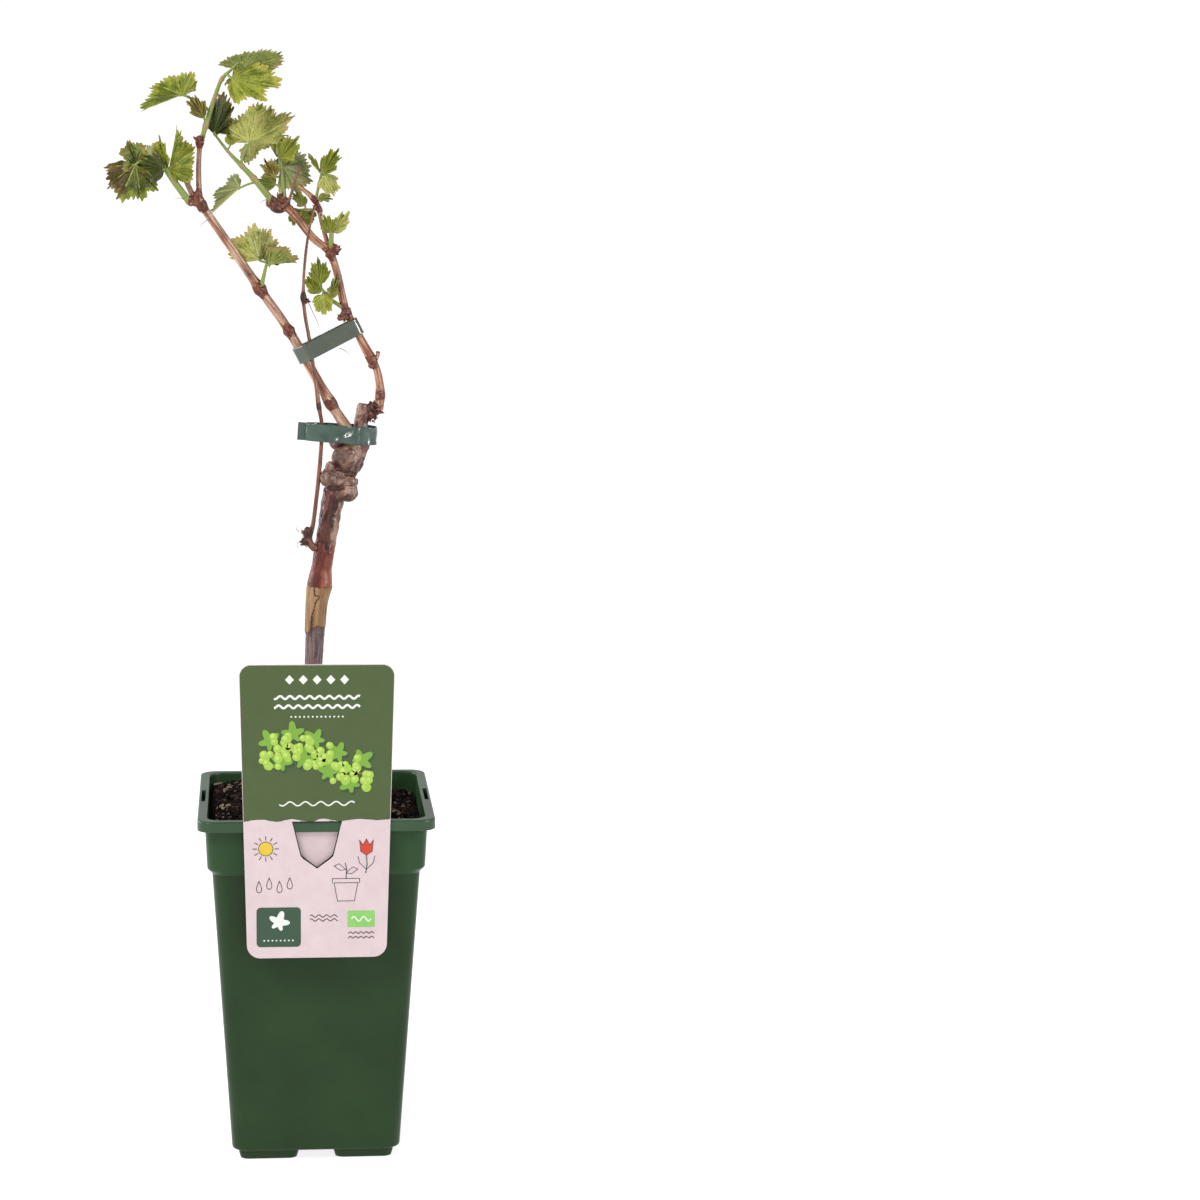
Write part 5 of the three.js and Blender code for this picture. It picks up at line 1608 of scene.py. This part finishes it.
def card_tongue(material):
    """The strip bent over the rim through its slot, and the tongue that hangs from it behind"""
    half = CARD_THICKNESS / 2
    top = RIM_TOP + CARD_GAP + half
    front, back = CARD_FRONT + half, TONGUE_Y
    line = [(front, top - 0.3), (front + 0.1, top), (front + 0.6, top + 0.2), (back - 0.6, top + 0.2)]
    line += [(back - 0.1, top)] + [(back, z) for z in np.linspace(top - 0.6, TONGUE_TIP + 0.2, 24)]
    line = np.array(line)
    sides = np.interp(
        line[:, 1], (TONGUE_TIP, TONGUE_SHOULDER, TONGUE_SHOULDER + SHOULDER_RISE, top),
        (0.3, TONGUE_SHOULDER_HALF - SHOULDER_IN, TONGUE_SHOULDER_HALF + SHOULDER_OUT, TONGUE_HALF),
    )
    rings = []
    for (y, z), side, (ny, nz) in zip(line, sides, across_line(line)):
        outer, inner = (y + ny * half, z + nz * half), (y - ny * half, z - nz * half)
        rings += [(-side, *outer), (side, *outer), (side, *inner), (-side, *inner)]
    pile = Pile()
    pile.add(rings, capped_grid(len(line), 4))
    belong(pile.make("card_tongue", [material], smooth=False), "card", "card")


def card_print(materials):
    """The card's green upper half with its torn edge, and all that is drawn on both halves"""
    pile = Pile()
    tear = tear_line()
    upper = [point for point in card_outline(0.4) if point[1] > TEAR]
    inked(pile, upper + tear[::-1], 1, "panel")
    inked(pile, ribbon([(x, z - 0.15) for x, z in tear], 0.3), 2, "shade")
    sprig(pile)
    ornament(pile)
    drawings(pile)
    belong(pile.make("card_print", materials, smooth=False), "card")


# Ties


def tie_frame(tie):
    """The directions across a tie and up it"""
    turn = math.radians(tie["tilt"])
    return np.array((math.cos(turn), 0, math.sin(turn))), np.array((-math.sin(turn), 0, math.cos(turn)))


def tie_levels(tie):
    """The heights of a tape's rows of points, from its middle"""
    return np.linspace(-0.5, 0.5, TAPE_ROWS) * tie["width"]


def crossing(limb, tie, level):
    """Where a limb passes a level of a tie, in the tie's own frame: across, depth and radius"""
    path, shares = grow_path(limb), np.linspace(0, 1, 401)
    across, up = tie_frame(tie)
    centre = np.array(tie["middle"]) + up * level
    points = curve_at(path, shares) - centre
    nearest = int(np.argmin(np.abs(points @ up)))
    slant = abs(tangents_at(path, shares[nearest:nearest + 1])[0] @ up)
    radius = radii_at(limb, shares[nearest])[0] / slant
    return points[nearest] @ across, points[nearest][1], radius


def pulled_round(circles, clearance):
    """The outline of a tape pulled round circles, at even steps, with its outward directions"""
    turns = np.arange(48) / 48 * 2 * math.pi
    points = []
    for across, depth, radius in circles:
        reach = radius + clearance
        points += [(across + reach * math.cos(t), depth + reach * math.sin(t)) for t in turns]
    hull = geometry.convex_hull_2d([Vector(point) for point in points])
    looped = np.array([points[number] for number in [*hull, hull[0]]])
    lengths = np.concatenate([[0], np.cumsum(np.linalg.norm(np.diff(looped, axis=0), axis=1))])
    count = round(lengths[-1] / TAPE_STEP)
    at = np.arange(count) / count * lengths[-1]
    even = np.column_stack([np.interp(at, lengths, looped[:, side]) for side in (0, 1)])
    along = np.roll(even, -1, axis=0) - np.roll(even, 1, axis=0)
    out = np.column_stack([along[:, 1], -along[:, 0]]) / np.linalg.norm(along, axis=1)[:, None]
    return even, out


def tape_sheet(pile, tie, outline, out, closed, shift):
    """A band of tape of even thickness along an outline, moved outwards by a shift at each of its points"""
    across, up = tie_frame(tie)
    sides = []
    for half in (TAPE / 2, -TAPE / 2):
        flat = outline[:, None] + out[:, None] * (shift + half)[..., None]
        points = np.array(tie["middle"]) + flat[..., :1] * across + flat[..., 1:] * (0, 1, 0)
        sides.append((points + tie_levels(tie)[None, :, None] * up).reshape(-1, 3))
    count, last = len(outline) * TAPE_ROWS, TAPE_ROWS - 1
    sheet = grid_faces(len(outline) + int(closed), TAPE_ROWS, False)
    sheet = [tuple(corner % count for corner in face) for face in sheet]
    edges = [(face[0], face[3]) for face in sheet if face[0] % TAPE_ROWS == 0]
    edges += [(face[2], face[1]) for face in sheet if face[1] % TAPE_ROWS == last]
    if not closed:
        edges += [(number + 1, number) for number in range(last)]
        edges += [(count - TAPE_ROWS + number, count - last + number) for number in range(last)]
    faces = sheet + [tuple(corner + count for corner in reversed(face)) for face in sheet]
    faces += [(a, b, b + count, a + count) for a, b in edges]
    pile.add(np.vstack(sides), faces)


def wrinkles(tie, outline, depth, seed):
    """Soft ripples of a tape, with sharp folds across it"""
    at = np.cumsum(np.linalg.norm(np.diff(outline, axis=0, prepend=outline[:1]), axis=1))
    grid = np.broadcast_arrays(at[:, None] * 0.7, tie_levels(tie)[None] * 0.5, 11.0 * seed)
    points = np.stack(grid, -1).reshape(-1, 3)
    ripple = rough(points, 6, 2).reshape(grid[0].shape)
    fold = 1 - np.abs(rough(points + 50, 9, 1)).reshape(grid[0].shape) * 3
    return depth * ripple + depth * np.clip(fold, 0, 1) ** 3


def tie_ends(pile, tie, bend, seed):
    """The two plies of tape that stand out to the left of a bend, a little apart"""
    start = bend[0] - bend[2] - TAPE_CLEARANCE
    line = np.linspace(start + END_ROOT, start - END_LENGTH, 9)
    bow = np.linspace(0, 1, len(line))
    away = np.tile((0.0, -1.0), (len(line), 1))
    for ply, lean in ((-0.35, -0.5), (0.35, 0.5)):
        strip = np.column_stack([line, bend[1] + ply + lean * bow ** 2])
        tape_sheet(pile, tie, strip, away, False, wrinkles(tie, strip, 0.2, seed + lean))


def tie_piece(name, node, tie, limbs, bends, depth, seed, material):
    """A loop of tape round limbs, and round any bend of its own, where its ends stand out"""
    circles = [crossing(limb, tie, share * tie["width"]) for limb in limbs for share in (-0.5, 0, 0.5)]
    pile = Pile()
    outline, out = pulled_round(circles + bends, TAPE_CLEARANCE + TAPE / 2)
    tape_sheet(pile, tie, outline, out, True, wrinkles(tie, outline, depth, seed))
    for bend in bends:
        tie_ends(pile, tie, bend, seed)
    return belong(pile.make(name, [material]), "tape", node)


# Studio


# The camera's place in millimetres, its angles in degrees, its lens and sensor in millimetres, and how far it
# sees in metres
CAMERA_AT = (-33.3, -1909.7, 654.5)
CAMERA_AZIMUTH = 1.0
CAMERA_PITCH = 9.49
CAMERA_YAW = 5.09
LENS = 96
SENSOR = 36
CLIP_END = 50
FLOOR_HALF = 30000
# Lights, in metres and watts: where each stands, the height on the pot's axis that it aims at, how wide it is,
# its power, and whether it only gleams on glossy surfaces
LIGHTS = {
    "key": ((-1.2, -1.1, 1.9), 0.35, 0.6, 34, False),
    "fill": ((1.6, -1.0, 0.9), 0.35, 0.5, 7, False),
    "edge": ((-1.5, 1.1, 0.9), 0.25, 0.8, 12, False),
    "gleam_right": ((1.5, -1.1, 0.9), 0.4, 0.3, 34, True),
    "gleam_left": ((-1.6, 0.5, 0.5), 0.15, 0.5, 9, True),
}


def add_camera():
    """The camera, in front of the plant at the height of its top, looking a little down"""
    azimuth, pitch, yaw = (math.radians(angle) for angle in (CAMERA_AZIMUTH, CAMERA_PITCH, CAMERA_YAW))
    level = math.cos(pitch)
    ahead = Vector((math.sin(azimuth) * level, math.cos(azimuth) * level, -math.sin(pitch)))
    right = Vector((math.cos(azimuth), -math.sin(azimuth), 0))
    look = ahead * math.cos(yaw) + right * math.sin(yaw)
    side = right * math.cos(yaw) - ahead * math.sin(yaw)
    turned = Matrix((side, right.cross(ahead), -look)).transposed().to_4x4()
    data = bpy.data.cameras.new("camera")
    data.lens, data.sensor_width, data.clip_end = LENS, SENSOR, CLIP_END
    camera = add_object("camera", data)
    camera.matrix_world = Matrix.Translation(Vector(CAMERA_AT) * MM) @ turned
    bpy.context.scene.camera = camera


def add_light(name, place, height, size, power, gloss_only):
    """A square area light, turned to a point on the pot's axis"""
    data = bpy.data.lights.new(name, "AREA")
    data.size, data.energy = size, power
    light = add_object(name, data)
    light.location = place
    light.rotation_euler = (Vector((0, 0, height)) - Vector(place)).to_track_quat("-Z", "Y").to_euler()
    light.visible_diffuse = not gloss_only


def add_floor():
    """A wide floor that glows, so that it looks about as white as the sky"""
    corners = [(x * FLOOR_HALF, y * FLOOR_HALF, 0) for x, y in ((-1, -1), (1, -1), (1, 1), (-1, 1))]
    pile = Pile()
    pile.add(corners, [(0, 1, 2, 3)])
    material, *_ = shader(
        "floor", "c0c0c0", 0.9, Specular_IOR_Level=0, Emission_Color=WHITE, Emission_Strength=0.84,
    )
    floor = pile.make("studio_floor", [material], smooth=False)


def add_sky():
    """A sky that is white near the horizon and dimmer overhead"""
    world = bpy.data.worlds.new("studio")
    world.use_nodes = True
    nodes, links = world.node_tree.nodes, world.node_tree.links
    place = nodes.new("ShaderNodeTexCoord")
    split = nodes.new("ShaderNodeSeparateXYZ")
    strength = nodes.new("ShaderNodeMapRange")
    for socket, value in (("From Min", 0.2), ("From Max", 0.5), ("To Min", 1.02), ("To Max", 0.4)):
        strength.inputs[socket].default_value = value
    links.new(place.outputs["Generated"], split.inputs["Vector"])
    links.new(split.outputs["Z"], strength.inputs["Value"])
    links.new(strength.outputs["Result"], nodes["Background"].inputs["Strength"])
    nodes["Background"].inputs["Color"].default_value = WHITE
    bpy.context.scene.world = world


def studio():
    """A white floor, a pale sky, three soft lights and two that only gleam, and the camera"""
    add_floor()
    add_sky()
    for name, light in LIGHTS.items():
        add_light(name, *light)
    view = bpy.context.scene.view_settings
    view.view_transform, view.look, view.exposure, view.gamma = "Standard", "None", 0, 1
    add_camera()


# Assembly


def trunk():
    """The trunk with its horn and its arm, in barks that follow the order of their numbers"""
    barks = [
        wood("bark_old", "574241", "8c7574", "2c1d1c"),
        wood("bark_tan", "916943", "ab8963", "6f4e30", across=700),
        wood("bark_red", "5c241d", "8c4636", "401812", roughness=0.42, across=200, along=0.3, relief=0.1),
        wood("bark_dark", "351814", "5e362c", "1d0b09", roughness=0.4, across=420, along=0.25, shine=0.26),
        wood(
            "bark_gall", "68463a", "a4806e", "44261f", roughness=0.42, across=300, along=0.6, relief=0.35,
            shine=0.4,
        ),
        wood("bark_crack", "4a3a36", "63504a", "2c1e1b"),
        # A darker gall bark, painted as shade on the knobs' lower parts
        wood(
            "bark_gall_painted_shade", "4c302a", "80604f", "2a1614", roughness=0.44, across=260, along=0.6, relief=0.35,
            shine=0.34,
        ),
        wood("bark_rust", "7c3a26", "ac6544", "582719", roughness=0.4, across=200, along=0.3, relief=0.1),
        wood(
            "bark_plum", "58292a", "80504a", "331616", roughness=0.36, across=300, along=0.25, relief=0.2,
            shine=0.34,
        ),
    ]
    limbs = [TRUNK, TRUNK_HORN, TRUNK_ARM]
    skin = woody("trunk_bark", limbs, TRUNK_LUMPS, TRUNK_VOXEL, trunk_relief, trunk_tones, barks)
    belong(skin, "bark", "trunk")


def canes():
    """The two canes with what grows from them, the dry stub and the thin old shoot"""
    at_nodes = wood("node_wood", "5e2c1d", "824834", "321510", roughness=0.45, across=600, along=0.3)
    left = wood("cane_left", "935c40", "d0ae96", "5c3022", roughness=0.38)
    right = wood("cane_right", "8c5238", "c4987a", "562c1e", roughness=0.38)
    stub = wood("stub_wood", "6e4a3a", "926e58", "42261c")
    shoot = wood("shoot_wood", "6a3e2e", "925e48", "341a14", roughness=0.42)
    shoot_nodes = wood("shoot_node", "38201a", "4e3026", "1e0e0b")
    left_limbs = [LEFT_CANE, FORK_LIMB, FORK_STUB]
    left_nodes = ["left_cane", "fork_limb", "fork_stub"]
    right_limbs = [RIGHT_CANE_LOWER, RIGHT_CANE_UPPER, SIDE_BRANCH, RIGHT_SPUR]
    right_nodes = ["right_cane_lower", "right_cane_upper", "side_branch"]
    cane_piece("left_canes", left_limbs, FORK_LUMPS, [left, at_nodes], "cane", left_nodes)
    cane_piece("right_canes", right_limbs, RIGHT_LUMPS, [right, at_nodes], "cane", right_nodes)
    cane_piece("dry_twig", [DRY_STUB], [], [stub], "stub", ["dry_stub"], TWIG_VOXEL)
    shoot_woods = [shoot, shoot_nodes]
    cane_piece("thin_shoots", [THIN_SHOOT], SHOOT_LUMPS, shoot_woods, "shoot", ["thin_shoot"], SHOOT_VOXEL)
    bud_scales([
        wood("scale_dark", "391912", "582b20", "1c0a08"), wood("scale_pale", "6e402e", "8e5e49", "402016"),
    ])


def foliage():
    """The masses of leaves on green stems that turn pink at their joints"""
    shades = leaf_materials()
    stems = [leafy("green_stem", "86944c", 0.4), leafy("pink_stem", "9c8e5e", 0.4)]
    for number, (node, mass) in enumerate(MASSES.items()):
        grow_mass(node, mass, number, shades, stems)


def potted():
    """The pot, the soil in it and the card on its rim"""
    pot([
        plastic("pot_plastic", "243a1f", "294224", 0.3),
        plastic("pot_collar_plastic", "2b482a", "304e2e", 0.3),
        plastic("pot_rim_plastic", "2e4a2e", "355237", 0.34, shine=0.32),
    ])
    peats = [
        peat("peat", "0f0a08", "1e1512"), peat("peat_brown", "30231e", "43332b"),
        peat("peat_fibre", "867262", "a08c7c"), peat("peat_red", "462e23", "5c4033"),
    ]
    soil_bed(peats[0])
    soil_fibres(peats)
    card_sheet(printed("card_pink", "e2cdd0"))
    card_tongue(printed("card_tongue_pink", "d8c3c5"))
    card_print([printed(f"ink_{name}", colour) for name, colour in INKS.items()])


def ties():
    """The two ties of tape"""
    olive = satin_tape("tape_olive", "434b3f", "4e5648", 0.02)
    blue = satin_tape("tape_blue", "31453d", "3f564c", 0.12)
    held = [LEFT_CANE, THIN_SHOOT, RIGHT_CANE_LOWER]
    tie_piece("tape_upper", "upper_tie", UPPER_TIE, held, [], 0.05, 3, olive)
    tie_piece("tape_lower", "lower_tie", LOWER_TIE, [TRUNK, THIN_SHOOT], [LOWER_BEND], 1.1, 8, blue)


trunk()
canes()
foliage()
potted()
ties()
studio()
